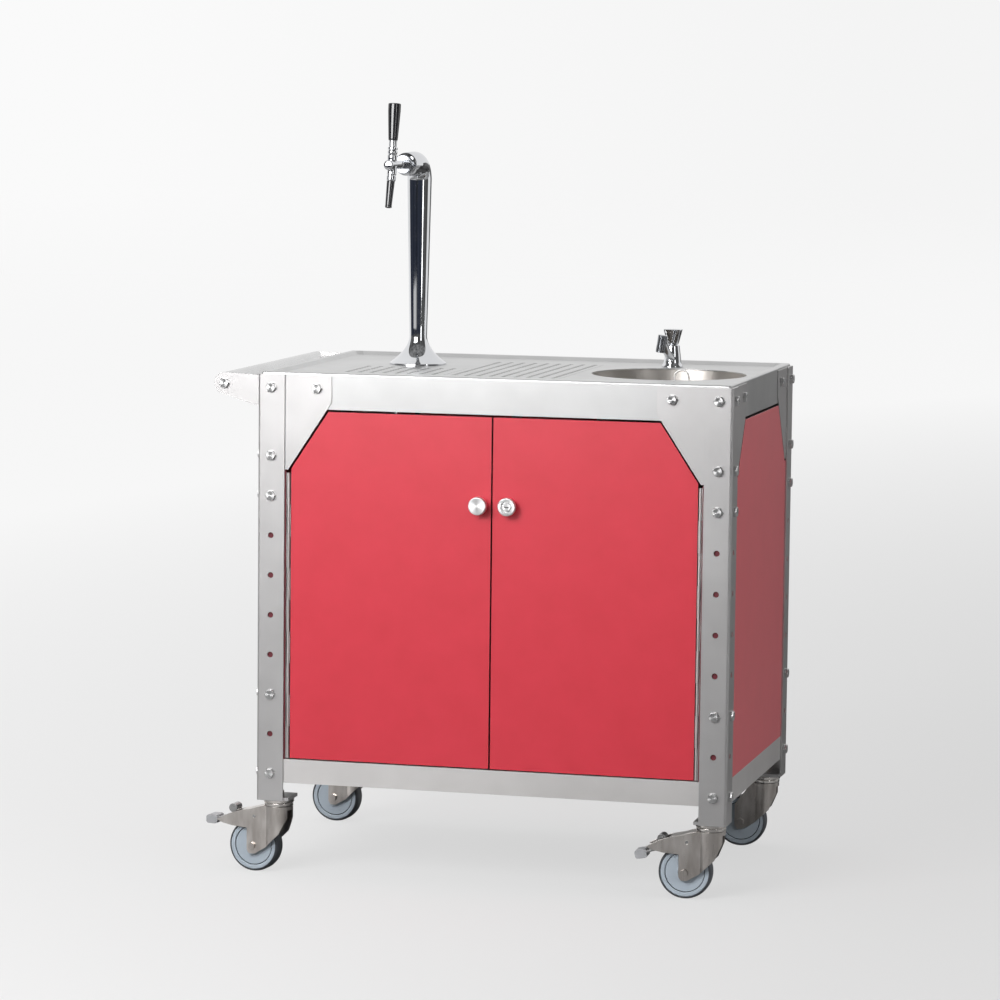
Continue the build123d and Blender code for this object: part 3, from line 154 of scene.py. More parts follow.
def span(mat, noise, middle, spread, into):
    """A number within spread of middle by noise."""
    wire(mat, remap(mat, noise, (noise_low, noise_high), (middle - spread, middle + spread)), into)


def relief(mat, shader, noise, strength):
    bump = add(mat, "ShaderNodeBump", Strength=strength, Distance=relief_depth)
    wire(mat, noise, bump.inputs["Height"])
    wire(mat, bump.outputs["Normal"], shader.inputs["Normal"])


def mixed(owner, fac, first, second):
    """The first shader where fac is 0, and the second where it is 1."""
    made = add(owner, "ShaderNodeMixShader")
    wire(owner, fac, made.inputs["Fac"])
    wire(owner, first, made.inputs[1])
    wire(owner, second, made.inputs[2])
    return made.outputs["Shader"]


# Materials

cloud_detail = 2.0
plastic_clouds = (14, 14, 14)
coat_roughness = 0.35
haze_roughness = 0.4


def metal(name, low, high, rough, brush, bump=0.05, spread=0.05, turning=0.0, mottle=(9, 9, 9)):
    """A ground or polished metal whose fine lines run along the axis with the small number in brush.
    Turning is the share of the gloss that follows the lathe marks kept in the mesh, and mottle the scale of
    the colour's patches."""
    mat, shader = new_material(name)
    shader.inputs["Metallic"].default_value = 1.0
    lines = grain(mat, brush)
    tint(mat, grain(mat, mottle, cloud_detail), low, high, shader.inputs["Base Color"])
    span(mat, lines, rough, spread, shader.inputs["Roughness"])
    if turning:
        marks = add(mat, "ShaderNodeAttribute", attribute_name="turning")
        wire(mat, marks.outputs["Vector"], shader.inputs["Tangent"])
        shader.inputs["Anisotropic"].default_value = turning
    else:
        relief(mat, shader, lines, bump)
    return mat


def plastic(name, low, high, rough, scale=900.0, bump=0.08, spread=0.04, coat=0.0, gloss=0.5, haze=0.0):
    """A moulded or coated surface with a fine grain. Coat is the share of a clear overlay, and haze the pale
    veil that a fine texture shows at a flat angle."""
    mat, shader = new_material(name)
    shader.inputs["Coat Weight"].default_value = coat
    shader.inputs["Coat Roughness"].default_value = coat_roughness
    shader.inputs["Specular IOR Level"].default_value = gloss
    shader.inputs["Sheen Weight"].default_value = haze
    shader.inputs["Sheen Roughness"].default_value = haze_roughness
    pores = grain(mat, (scale, scale, scale))
    tint(mat, grain(mat, plastic_clouds, cloud_detail), low, high, shader.inputs["Base Color"])
    span(mat, pores, rough, spread, shader.inputs["Roughness"])
    relief(mat, shader, pores, bump)
    return mat


upright_steel = metal("steel ground upright", (0.57, 0.56, 0.56), (0.63, 0.62, 0.62), rough=0.42,
                      brush=(900, 900, 8), bump=0.02, spread=0.025)
# painted light: the frame's steel made brighter for the bottom tray, besides its brushing along X
brightened_level_steel = metal("steel ground along, brightened as painted light", (0.80, 0.78, 0.77), (0.86, 0.84, 0.83), rough=0.46,
                    brush=(8, 900, 900), bump=0.02, spread=0.025)
handle_steel = metal("steel tube", (0.64, 0.64, 0.64), (0.70, 0.70, 0.70), rough=0.27, brush=(900, 8, 900))
top_steel = metal("steel worktop", (0.58, 0.58, 0.58), (0.64, 0.64, 0.64), rough=0.38, brush=(6, 800, 800),
                  bump=0.02, spread=0.025)
# painted shade: a dark copy of the stainless steel, for the drip pan under the grid, the walls of the grid's
# slots and the key slot
painted_shade_steel = metal("steel darkened as the shade in the pan and slots", (0.16, 0.16, 0.16), (0.22, 0.22, 0.22), rough=0.45,
                  brush=(6, 800, 800))
sink_steel = metal("steel sink", (0.40, 0.375, 0.35), (0.47, 0.445, 0.42), rough=0.42,
                   brush=(900, 900, 30), bump=0.006, spread=0.02)
bolt_steel = metal("steel bolts", (0.62, 0.62, 0.62), (0.72, 0.72, 0.72), rough=0.30, brush=(90, 90, 90),
                   turning=0.85)
caster_steel = metal("steel casters", (0.50, 0.46, 0.43), (0.78, 0.74, 0.71), rough=0.29,
                     brush=(900, 900, 20), bump=0.006, spread=0.02, mottle=(45, 45, 14))
head_steel = metal("steel bearing heads", (0.70, 0.67, 0.64), (0.78, 0.75, 0.72), rough=0.15,
                   brush=(40, 40, 200), bump=0.006, spread=0.02)
knob_steel = metal("steel knobs", (0.82, 0.82, 0.82), (0.90, 0.90, 0.90), rough=0.42, brush=(40, 40, 40),
                   turning=0.55)
hinge_steel = metal("steel hinge", (0.76, 0.75, 0.74), (0.84, 0.83, 0.82), rough=0.40,
                    brush=(600, 600, 20))
# painted shade: the hinge steel made near black where the leaf lies in the gap beside its door
hinge_shade_steel = metal("hinge leaf darkened as the shade in the gap", (0.07, 0.06, 0.06), (0.10, 0.09, 0.09), rough=0.50,
                   brush=(600, 600, 20))
chrome = metal("chrome", (0.69, 0.70, 0.72), (0.75, 0.76, 0.78), rough=0.045, brush=(30, 30, 30),
               bump=0.003, spread=0.02)
# painted shade: the chrome made darker for the shade in the knurl's grooves on the tap collar and the
# aerator
knurl_shade_chrome = metal("chrome darkened as the shade in its knurl", (0.24, 0.25, 0.27), (0.34, 0.35, 0.37), rough=0.20, brush=(60, 60, 60),
                bump=0.02)
red_sheet = plastic("red laminate", (0.600, 0.022, 0.042), (0.640, 0.026, 0.050), rough=0.40, scale=1400,
                    bump=0.06, coat=0.5, haze=0.4)
dark_core = plastic("laminate core", (0.030, 0.018, 0.016), (0.060, 0.036, 0.032), rough=0.55)
# painted shade: the red laminate made darker for the door posts behind the doors
painted_shade_red = plastic("red in the shade", (0.120, 0.012, 0.020), (0.150, 0.016, 0.026), rough=0.50)
black_gloss = plastic("black grip", (0.008, 0.008, 0.010), (0.014, 0.014, 0.017), rough=0.10, scale=200,
                      bump=0.004, spread=0.02, gloss=0.9)
tyre_rubber = plastic("tread rubber", (0.050, 0.056, 0.064), (0.080, 0.088, 0.098), rough=0.52)
# painted shade: darker than the tread rubber, for the shade in the wheel grooves
groove_shade = plastic("painted shade in the wheel groove", (0.012, 0.016, 0.022), (0.022, 0.028, 0.036), rough=0.55)
wheel_plastic = plastic("wheel core", (0.400, 0.460, 0.520), (0.460, 0.525, 0.590), rough=0.34, scale=500)
pedal_steel = metal("steel pedals", (0.42, 0.42, 0.42), (0.52, 0.52, 0.52), rough=0.30,
                    brush=(200, 200, 200))
pedal_plastic = plastic("pedal tip", (0.340, 0.345, 0.360), (0.420, 0.425, 0.440), rough=0.40, scale=600)
cooler_coat = plastic("cooler coat", (0.120, 0.130, 0.140), (0.170, 0.180, 0.190), rough=0.46, scale=700,
                      bump=0.2)
canister_skin = plastic("canister", (0.680, 0.710, 0.730), (0.760, 0.785, 0.800), rough=0.38, scale=350)
# painted shade: the beer line made near black, as the shade behind the door gap
beer_line_shade = plastic("beer line darkened as the shade behind the door gap", (0.020, 0.020, 0.022), (0.034, 0.034, 0.037), rough=0.60,
                    scale=500)
tube_skin = plastic("tube", (0.520, 0.590, 0.640), (0.620, 0.680, 0.720), rough=0.22, scale=300, bump=0.02)

finish_of = {
    "stainless_frame": upright_steel,
    "stainless_top": top_steel,
    "stainless_sink": sink_steel,
    "fastener_steel": bolt_steel,
    "red_laminate": red_sheet,
    "chrome_plate": chrome,
    "black_grip": black_gloss,
    "caster_steel": caster_steel,
    "wheel_core": wheel_plastic,
    "wheel_tread": tyre_rubber,
    "pedal_metal": pedal_steel,
    "knob_steel": knob_steel,
    "cooler_case": cooler_coat,
    "canister_plastic": canister_skin,
    "tube_plastic": tube_skin,
}
own_finish = {
    "bottom_tray": brightened_level_steel,
    "push_handle": handle_steel,
    "tap_collar": knurl_shade_chrome,
    "faucet_aerator": knurl_shade_chrome,
    "drip_pan": painted_shade_steel,
    "standpipe": hinge_steel,
    "beer_line": beer_line_shade,
    "caster_heads": head_steel,
    "door_posts": painted_shade_red,
    "hinge_pins": hinge_steel,
    "hinge_frame_leaves": hinge_steel,
    "hinge_door_leaf_left": hinge_steel,
    "hinge_door_leaf_right": hinge_steel,
    "lock_cam": hinge_steel,
}


# Pieces made from the CAD meshes: widths in millimetres, angles in degrees

sharp_angle = 34
flat_angle = 0.6
merge_reach = 0.002 * MM
edge_segments = 2
usual_edge = 0.6
fork_edge = 1.1
edge_width = {
    "worktop": 0.5,
    "drip_grid_front": 0.25,
    "drip_grid_right": 0.25,
    "hinge_pins": 0.2,
    "hinge_frame_leaves": 0.15,
    "hinge_door_leaf_left": 0.15,
    "hinge_door_leaf_right": 0.15,
    "lock_rose": 0.4,
    "lock_knob": 0.3,
    "standpipe": 0.3,
    "frame_bolts": 0.4,
    "faucet_aerator": 0.3,
    "tap_collar": 0.3,
}
left_in_triangles = ("beer_cooler",)
rebuilt = ("beer_column", "tap_body", "tap_lever", "tap_grip", "tap_nozzle", "faucet_body", "faucet_handle")


def show(piece, node):
    """Puts a finished piece in the place of a CAD node, on the same body, and hides the node."""
    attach(piece, body_of(nodes[node])[0])
    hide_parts(node)


def new_piece(name, mesh, finish, sharp=sharp_angle):
    """An object in the scene from a mesh, smooth but for its sharp edges."""
    mesh.materials.clear()
    mesh.materials.append(finish)
    mesh.shade_smooth()
    mesh.set_sharp_from_angle(angle=math.radians(sharp))
    piece = bpy.data.objects.new(name, mesh)
    scene.collection.objects.link(piece)
    return piece


def bake_modifiers(piece):
    """Works the piece's modifiers into its mesh."""
    bpy.context.view_layer.update()
    done = piece.evaluated_get(bpy.context.evaluated_depsgraph_get())
    mesh = bpy.data.meshes.new_from_object(done)
    piece.modifiers.clear()
    piece.data = mesh


def rounded(node, width):
    """A copy of a CAD mesh with its flat faces joined up and its edges rounded."""
    mesh = nodes[node].data.copy()
    work = bmesh.new()
    work.from_mesh(mesh)
    bmesh.ops.remove_doubles(work, verts=work.verts, dist=merge_reach)
    if node not in left_in_triangles:
        bmesh.ops.dissolve_limit(work, angle_limit=math.radians(flat_angle), verts=work.verts,
                                 edges=work.edges)
    work.to_mesh(mesh)
    work.free()
    piece = new_piece("look_" + node, mesh, own_finish.get(node, finish_of[slot_of[node]]))
    bevel = piece.modifiers.new("edges", "BEVEL")
    bevel.width = width * MM
    bevel.segments = edge_segments
    bevel.limit_method = "ANGLE"
    bevel.angle_limit = math.radians(sharp_angle)
    bevel.miter_outer = "MITER_ARC"
    weighted = piece.modifiers.new("normals", "WEIGHTED_NORMAL")
    weighted.keep_sharp = True
    bake_modifiers(piece)
    return piece


looks = {}
for name in sorted(nodes):
    if name in rebuilt:
        continue
    width = fork_edge if name.startswith("caster_fork") else edge_width.get(name, usual_edge)
    looks[name] = rounded(name, width)
    show(looks[name], name)


# Second finishes on some faces of these pieces; some of them are painted shade

hinge_reach = 3.0 * MM
tip_reach = 77 * MM
slot_reach = 5.2 * MM
slot_from = 0.4 * MM
slot_to = 3.0 * MM
sheet_facing = 0.6
grid_facing = 0.5


def repaint(node, finish, chosen):
    """Gives the faces of a node's look for which chosen(middle, normal) holds another finish."""
    mesh = looks[node].data
    mesh.materials.append(finish)
    index = len(mesh.materials) - 1
    for face in mesh.polygons:
        if chosen(face.center, face.normal):
            face.material_index = index


# the cut edges of the laminate
for name in ("door_left", "door_right", "rear_panel"):
    repaint(name, dark_core, lambda middle, normal: abs(normal.y) < sheet_facing)
for name in ("side_panel_left", "side_panel_right"):
    repaint(name, dark_core, lambda middle, normal: abs(normal.x) < sheet_facing)

# the part of a hinge leaf that lies in the gap beside its door, painted dark as the shade in the gap, and
# the plastic tips of the pedals
for side in sides:
    pin = Vector(joint_named[side + "_door_hinge"]["pos_m"])
    repaint("hinge_door_leaf_" + side, hinge_shade_steel,
            lambda middle, normal: abs(middle.x - pin.x) > hinge_reach)
    pin = Vector(joint_named[side + "_brake_press"]["pos_m"])
    repaint("brake_pedal_" + side, pedal_plastic,
            lambda middle, normal: math.hypot(middle.x - pin.x, middle.y - pin.y) > tip_reach)

# the walls of the grids' slots, painted dark as the shade in them
for name in ("drip_grid_front", "drip_grid_right"):
    repaint(name, painted_shade_steel, lambda middle, normal: abs(normal.z) < grid_facing)

# the key slot: the faces of the lock's plug that lie deeper than its front, near its axis, painted dark as
# the shade in the slot
plug_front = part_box("lock_knob")[0].y
plug_axis = Vector(joint_named["lock_turn"]["pos_m"])
repaint("lock_knob", painted_shade_steel,
        lambda middle, normal: slot_from < middle.y - plug_front < slot_to
        and math.hypot(middle.x - plug_axis.x, middle.z - plug_axis.z) < slot_reach)


# Lathe marks on the bolts and knobs

def islands(mesh):
    """Lists of the vertex numbers of each separate solid in a mesh."""
    links = {vertex.index: [] for vertex in mesh.vertices}
    for edge in mesh.edges:
        a, b = edge.vertices
        links[a].append(b)
        links[b].append(a)
    waiting = set(links)
    while waiting:
        stack = [waiting.pop()]
        found = []
        while stack:
            at = stack.pop()
            found.append(at)
            fresh = [other for other in links[at] if other in waiting]
            waiting.difference_update(fresh)
            stack.extend(fresh)
        yield found


def lathe_marks(node, axis_of):
    """Keeps the direction of the lathe marks in a look's mesh, round the axis of each separate solid."""
    mesh = looks[node].data
    marks = mesh.attributes.new("turning", "FLOAT_VECTOR", "POINT")
    for found in islands(mesh):
        points = [mesh.vertices[i].co for i in found]
        low = Vector([min(point[k] for point in points) for k in range(3)])
        high = Vector([max(point[k] for point in points) for k in range(3)])
        axis = axis_of(high - low)
        for i in found:
            marks.data[i].vector = axis.cross(mesh.vertices[i].co - (low + high) / 2) / MM


def bolt_axis(size):
    """The axis of a hexagon bolt: across it, the flats and the corners differ by their known ratio."""
    ratio = 2 / math.sqrt(3)
    misses = []
    for k in range(3):
        a, b = (size[j] for j in range(3) if j != k)
        misses.append(abs(max(a, b) / min(a, b) - ratio))
    axis = Vector((0, 0, 0))
    axis[misses.index(min(misses))] = 1
    return axis


lathe_marks("frame_bolts", bolt_axis)
for name in ("door_knob", "lock_rose", "lock_knob"):
    lathe_marks(name, lambda size: Vector((0, 1, 0)))


# Turned and swept shapes, in millimetres: a shape is its vertices and its faces

corner_share = 0.45
corner_steps = 4
lathe_sides = 64
still = Matrix.Identity(4)
across = Vector((1, 0, 0))
upward = Vector((0, 0, 1))
forward = Vector((0, -1, 0))


def shift(x, y, z):
    return Matrix.Translation((x, y, z))


def turn_x(degrees):
    return Matrix.Rotation(math.radians(degrees), 4, "X")


def bent(start, corner, end, t):
    """The point at share t of the curve from start to end that is drawn toward corner."""
    return start * (1 - t) ** 2 + corner * (2 * t * (1 - t)) + end * t ** 2


def eased(points, radius):
    """An outline with each inner corner rounded by at most radius."""
    soft = [points[0]]
    for before, corner, after in zip(points, points[1:], points[2:]):
        a, p, b = Vector(before), Vector(corner), Vector(after)
        cut = min(radius, corner_share * (a - p).length, corner_share * (b - p).length)
        start = p + (a - p).normalized() * cut
        end = p + (b - p).normalized() * cut
        soft += [tuple(bent(start, p, end, step / corner_steps)) for step in range(corner_steps + 1)]
    return soft + [points[-1]]


def stitched(rows):
    """Faces between rows of vertex numbers that go round; a row may repeat one number, for a pole."""
    faces = []
    count = len(rows[0])
    for low, high in zip(rows, rows[1:]):
        for i in range(count):
            j = (i + 1) % count
            face = list(dict.fromkeys((low[i], low[j], high[j], high[i])))
            if len(face) > 2:
                faces.append(face)
    return faces


def turns(count):
    """The angles of equal steps round a circle."""
    return [2 * math.pi * i / count for i in range(count)]


def lathe(outline, count=lathe_sides, closed=False):
    """Surface of revolution about Z from (radius, height) points. A closed outline makes a ring."""
    verts, rows = [], []
    for radius, height in outline:
        if radius == 0:
            rows.append([len(verts)] * count)
            verts.append((0, 0, height))
            continue
        rows.append(list(range(len(verts), len(verts) + count)))
        for turn in turns(count):
            verts.append((radius * math.cos(turn), radius * math.sin(turn), height))
    return verts, stitched(rows + rows[:1] if closed else rows)


def swept(rings, count):
    """Round bar with closed ends through (middle, direction, radius) rings, each with a diameter along X."""
    verts = [tuple(rings[0][0]), tuple(rings[-1][0])]
    rows = [[0] * count]
    for middle, direction, radius in rings:
        up = direction.cross(across).normalized()
        rows.append(list(range(len(verts), len(verts) + count)))
        for turn in turns(count):
            verts.append(tuple(middle + (across * math.cos(turn) + up * math.sin(turn)) * radius))
    rows.append([1] * count)
    return verts, stitched(rows)


def solid_mesh(name, chunks, place):
    """One mesh in metres from (shape, matrix) chunks in millimetres, set by place."""
    work = bmesh.new()
    for (verts, faces), matrix in chunks:
        made = [work.verts.new(matrix @ Vector(vert)) for vert in verts]
        for face in faces:
            work.faces.new([made[i] for i in face])
    bmesh.ops.recalc_face_normals(work, faces=work.faces)
    bmesh.ops.transform(work, matrix=Matrix.Scale(MM, 4) @ place, verts=work.verts)
    mesh = bpy.data.meshes.new(name)
    work.to_mesh(mesh)
    work.free()
    return mesh


def rebuild(node, chunks, place, finish, sharp=sharp_angle):
    """Shows one piece made of chunks in the place of a CAD node."""
    name = "look_" + node
    show(new_piece(name, solid_mesh(name, chunks, place), finish, sharp), node)


# Beer column: trumpet foot, tapered shaft, bend and head

worktop_recess = 6.0
recess_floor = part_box("worktop")[1].z / MM - worktop_recess
column_low, column_high = (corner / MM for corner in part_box("beer_column"))
foot_radius = (column_high.x - column_low.x) / 2
column_x = (column_high.x + column_low.x) / 2
column_y = column_high.y - foot_radius
foot_inset = 1.0
rim_edge = 3.2
rim_height = 5.0
rim_inset = 3.0
rim_round = 0.8
shaft_low = 17.0
shaft_high = 23.5
flare_top = 54.0
flare_middle_height = 25.0
flare_middle_radius = 30.0
bend_radius = 32.0
head_height = column_high.z - shaft_high
head_reach = 76.0
head_taper = 1.5
head_end = shaft_high - head_taper
head_edge = 1.0
head_inner = 6.0
flare_steps = 24
shaft_steps = 12
bend_steps = 24
column_sides = 96
column_sharp = 50
tilt_axis = joint_named["tap_lever_tilt"]["axis"]
column_turn = math.atan2(tilt_axis[1], tilt_axis[0])
column_frame = shift(column_x, column_y, 0) @ Matrix.Rotation(column_turn, 4, "Z")


def flare_radius(height):
    """Radius of the trumpet foot: a parabola through its rim, its middle and the shaft."""
    points = [(rim_height, foot_radius - rim_inset), (flare_middle_height, flare_middle_radius),
              (flare_top, shaft_low)]
    total = 0.0
    for i, (at, share) in enumerate(points):
        for j, (other, _) in enumerate(points):
            if i != j:
                share *= (height - other) / (at - other)
        total += share
    return total


def level_ring(height, radius):
    """A level ring of the column, at a height above the recess."""
    return Vector((0, 0, recess_floor + height)), upward, radius


rim = eased([(0.0, foot_radius - foot_inset), (0.0, foot_radius), (rim_edge, foot_radius),
             (rim_height, foot_radius - rim_inset)], rim_round)
column_rings = [level_ring(height, radius) for height, radius in rim]
for step in range(1, flare_steps + 1):
    height = rim_height + (flare_top - rim_height) * step / flare_steps
    column_rings.append(level_ring(height, max(flare_radius(height), shaft_low)))
neck = head_height - bend_radius
shaft_length = neck - recess_floor - flare_top
for step in range(1, shaft_steps + 1):
    t = step / shaft_steps
    column_rings.append(level_ring(flare_top + shaft_length * t, shaft_low + (shaft_high - shaft_low) * t))
for step in range(1, bend_steps + 1):
    a = math.radians(90 * step / bend_steps)
    middle = Vector((0, -bend_radius * (1 - math.cos(a)), neck + bend_radius * math.sin(a)))
    column_rings.append((middle, Vector((0, -math.sin(a), math.cos(a))), shaft_high))
head = [(head_reach - head_edge, head_end), (head_reach, head_end - head_edge), (head_reach, head_inner)]
for reach, radius in head:
    column_rings.append((Vector((0, -reach, head_height)), forward, radius))
rebuild("beer_column", [(swept(column_rings, column_sides), still)], column_frame, chrome, column_sharp)


# Tap: shank, front cap, bonnet, spout, lever, grip and nozzle, from (radius, height) outlines

tap_reach = 147.0
cap_lead = 16.0
cap_reach = tap_reach + cap_lead
cap_radius = 9.8
shank_radius = 8.5
shank_waist = 7.2
bonnet_radius = 9.6
bonnet_height = 19.0
bonnet_waist = 7.6
spout_lean = 14.0
spout_length = 32.0
spout_radius = 9.0
spout_waist = 8.3
ball_rise = 24.0
ball_radius = 9.3
ball_from = -90
ball_to = 16
ball_steps = 15
lever_lean = 6.0
lever_waist = 7.0
lever_collar = 9.4
ferrule_length = 22.0
ferrule_radius = 7.6
grip_length = 70.0
grip_radius = 12.0
grip_top = ferrule_length + grip_length
nozzle_length = 50.5
nozzle_bore = 4.0
nozzle_depth = 6.0
nozzle_floor = nozzle_length - nozzle_depth
nozzle_lip = 6.4

shank = lathe(eased([(0, head_reach), (shank_radius, head_reach), (shank_radius, 108), (shank_waist, 110),
                     (shank_waist, 116), (shank_radius, 118), (shank_radius, cap_reach - 8),
                     (0, cap_reach - 8)], radius=0.8))
cap = lathe(eased([(0, cap_reach - 9), (8.6, cap_reach - 9), (cap_radius, cap_reach - 7),
                   (cap_radius, cap_reach + 4), (9.0, cap_reach + 6.6), (6.5, cap_reach + 7.6),
                   (0, cap_reach + 8.0)], radius=1.2))
bonnet = lathe(eased([(0, 2), (bonnet_waist, 2), (bonnet_waist, 8.4), (bonnet_radius, 9.2),
                      (bonnet_radius, bonnet_height - 0.8), (bonnet_radius - 0.8, bonnet_height),
                      (8.2, bonnet_height), (7.4, 17.6), (0, 14.6)], radius=0.6))
spout = lathe(eased([(0, 0), (spout_radius, 2), (spout_radius, 19), (spout_waist, 20), (spout_waist, 21),
                     (spout_radius, 22), (8.8, 29), (7.8, spout_length), (0, spout_length)], radius=0.7))
nozzle = lathe(eased([(0, -0.5), (7.0, -0.5), (7.6, 0), (7.5, 3), (6.2, nozzle_length - 4),
                      (nozzle_lip, nozzle_length - 3), (nozzle_lip, nozzle_length - 0.6),
                      (6.0, nozzle_length), (4.2, nozzle_length), (nozzle_bore, nozzle_floor),
                      (0, nozzle_floor)], radius=0.5))
ball = [(0, -ball_radius)]
for step in range(1, ball_steps):
    a = math.radians(ball_from + (ball_to - ball_from) * step / ball_steps)
    ball.append((ball_radius * math.cos(a), ball_radius * math.sin(a)))
lever = lathe(ball + eased([(8.8, 2.8), (lever_waist, 3.0), (lever_waist, 3.8), (9.0, 4.4),
                            (lever_collar, 5.0), (lever_collar, 8.6), (9.0, 9.2), (lever_waist, 9.8),
                            (lever_waist, 10.8), (ferrule_radius, 11.2), (ferrule_radius, 20.5),
                            (8.0, ferrule_length), (0, ferrule_length)], radius=0.4))
grip = lathe(eased([(0, ferrule_length), (8.4, ferrule_length), (9.0, ferrule_length + 2.5),
                    (10.6, ferrule_length + 30), (grip_radius, grip_top - 14), (grip_radius, grip_top - 1),
                    (11.0, grip_top), (0, grip_top)], radius=1.4))

shank_place = shift(0, 0, head_height) @ turn_x(90)
tap_front = shift(0, -tap_reach, head_height)
spout_place = tap_front @ turn_x(180 - spout_lean)
nozzle_place = spout_place @ shift(0, 0, spout_length)
lever_place = shift(0, -tap_reach, head_height + ball_rise) @ turn_x(-lever_lean)
tap_chunks = [(shank, shank_place), (cap, shank_place), (bonnet, tap_front), (spout, spout_place)]
rebuild("tap_body", tap_chunks, column_frame, chrome)
rebuild("tap_nozzle", [(nozzle, nozzle_place)], column_frame, black_gloss)
rebuild("tap_lever", [(lever, lever_place)], column_frame, chrome)
rebuild("tap_grip", [(grip, lever_place)], column_frame, black_gloss)


# Faucet: conical pillar, its tail under the worktop and a rising spout

faucet_x, faucet_y, _ = (value / MM for value in joint_named["faucet_turn"]["pos_m"])
faucet_frame = shift(faucet_x, faucet_y, recess_floor)
pillar_height = 44.0
pillar_foot = 20.5
tail_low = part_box("faucet_body")[0].z / MM - recess_floor
tail_top = 0.5
tail_radius = 10.0
faucet_reach = 92.0
faucet_inset = 5.0
aerator_rise = 67.0
aerator_neck = 11.0
aerator_tilt = math.radians(8.0)
faucet_spout_low = 8.6
faucet_spout_high = 6.6
faucet_spout_steps = 16
faucet_spout_sides = 48

pillar = lathe(eased([(0, 0), (pillar_foot, 0), (pillar_foot, 2.6), (17.0, 8.5), (15.4, 24),
                      (13.0, pillar_height - 2), (11.0, pillar_height), (0, pillar_height)], radius=1.4))
tail = lathe([(0, tail_low), (tail_radius, tail_low), (tail_radius, tail_top), (0, tail_top)])
spout_start = Vector((0, -6, 15))
spout_bend = Vector((0, -52, 29))
spout_end = Vector((-aerator_neck * math.sin(aerator_tilt), faucet_inset - faucet_reach,
                    aerator_rise - aerator_neck * math.cos(aerator_tilt)))
spout_rings = []
for step in range(faucet_spout_steps + 1):
    t = step / faucet_spout_steps
    middle = bent(spout_start, spout_bend, spout_end, t)
    along = (spout_bend - spout_start) * (1 - t) + (spout_end - spout_bend) * t
    radius = faucet_spout_low + (faucet_spout_high - faucet_spout_low) * t
    spout_rings.append((middle, along.normalized(), radius))
faucet_spout = swept(spout_rings, faucet_spout_sides)
rebuild("faucet_body", [(pillar, still), (faucet_spout, still), (tail, still)], faucet_frame, chrome)


# Faucet handle: round at its foot and a rounded rectangle at its top, on a neck

handle_height = 29.0
handle_gap = 0.4
handle_half_x = 17.5
handle_half_y = 14.0
handle_foot = 11.0
handle_power = 5.5
handle_steps = 12
handle_sides = 72
neck_radius = 7.0
neck_low = -10
neck_top = 1


def handle_ring(share, inset, height):
    """Outline of the handle at a share of its flare: an ellipse whose power rises from 2 with the share."""
    power = 2 + (handle_power - 2) * share
    half_x = handle_foot + (handle_half_x - handle_foot) * share - inset
    half_y = handle_foot + (handle_half_y - handle_foot) * share - inset
    ring = []
    for turn in turns(handle_sides):
        c, s = math.cos(turn), math.sin(turn)
        x = math.copysign(abs(c) ** (2 / power), c) * half_x
        y = math.copysign(abs(s) ** (2 / power), s) * half_y
        ring.append((x, y, height))
    return ring


# from the foot up: the share of the flare, the inset of a rounded edge, and the height
handle_levels = [(0.0, 1.5, 0.0), (0.03, 0.4, 0.9)]
for step in range(1, handle_steps):
    handle_levels.append((step / handle_steps, 0.0, handle_height * step / handle_steps))
handle_levels += [(0.97, 0.0, handle_height - 1.4), (1.0, 0.6, handle_height - 0.4),
                  (1.0, 1.6, handle_height)]
handle_verts = [(0, 0, 0), (0, 0, handle_height)]
handle_rows = [[0] * handle_sides]
for share, inset, height in handle_levels:
    handle_rows.append(list(range(len(handle_verts), len(handle_verts) + handle_sides)))
    handle_verts += handle_ring(share, inset, height)
handle_rows.append([1] * handle_sides)
handle = (handle_verts, stitched(handle_rows))
handle_neck = lathe([(0, neck_low), (neck_radius, neck_low), (neck_radius, neck_top), (0, neck_top)])
handle_place = shift(0, 0, pillar_height + handle_gap)
rebuild("faucet_handle", [(handle, handle_place), (handle_neck, handle_place)], faucet_frame, chrome)


# Dark rings in the grooves on both faces of each wheel, as painted shade in the grooves

groove_radius = 37.0
groove_half = 0.65
groove_floor = 11.05
groove_fill = 0.9
groove_top = groove_floor + groove_fill
groove_sides = 96
inner = groove_radius - groove_half
outer = groove_radius + groove_half
groove_chunks = []
for face in (1, -1):
    outline = [(inner, face * groove_floor), (inner, face * groove_top), (outer, face * groove_top),
               (outer, face * groove_floor)]
    groove_chunks.append((lathe(outline, groove_sides, closed=True), still))
for corner in corners:
    name = "wheel_groove_" + corner
    joint = joint_named["wheel_spin_" + corner]
    axle = Vector(joint["axis"]).to_track_quat("Z", "Y").to_matrix().to_4x4()
    wheel_frame = Matrix.Translation(Vector(joint["pos_m"]) / MM) @ axle
    piece = new_piece(name, solid_mesh(name, groove_chunks, wheel_frame), groove_shade)
    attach(piece, "wheel_" + corner)


# Floor: it takes the shadow, glows in a pale grey that the camera and mirrors see, and fades far out

floor_radius = 40.0
floor_sides = 128
fade_start = 10.0
floor_roughness = 0.95
floor_patches = (0.6, 0.6, 0.6)
floor_bounce = (0.14, 0.14, 0.14)
floor_bounce_high = (0.16, 0.16, 0.16)
floor_shade = (0.15, 0.15, 0.15, 1)
glow_shift = (-5.0, 1.0, 0.0)
glow_stretch = (2.5, 1.0, 1.0)
glow_greys = [(0.0, 0.53), (0.075, 0.575), (0.15, 0.655), (0.235, 0.75), (0.35, 0.872), (1.0, 0.876)]


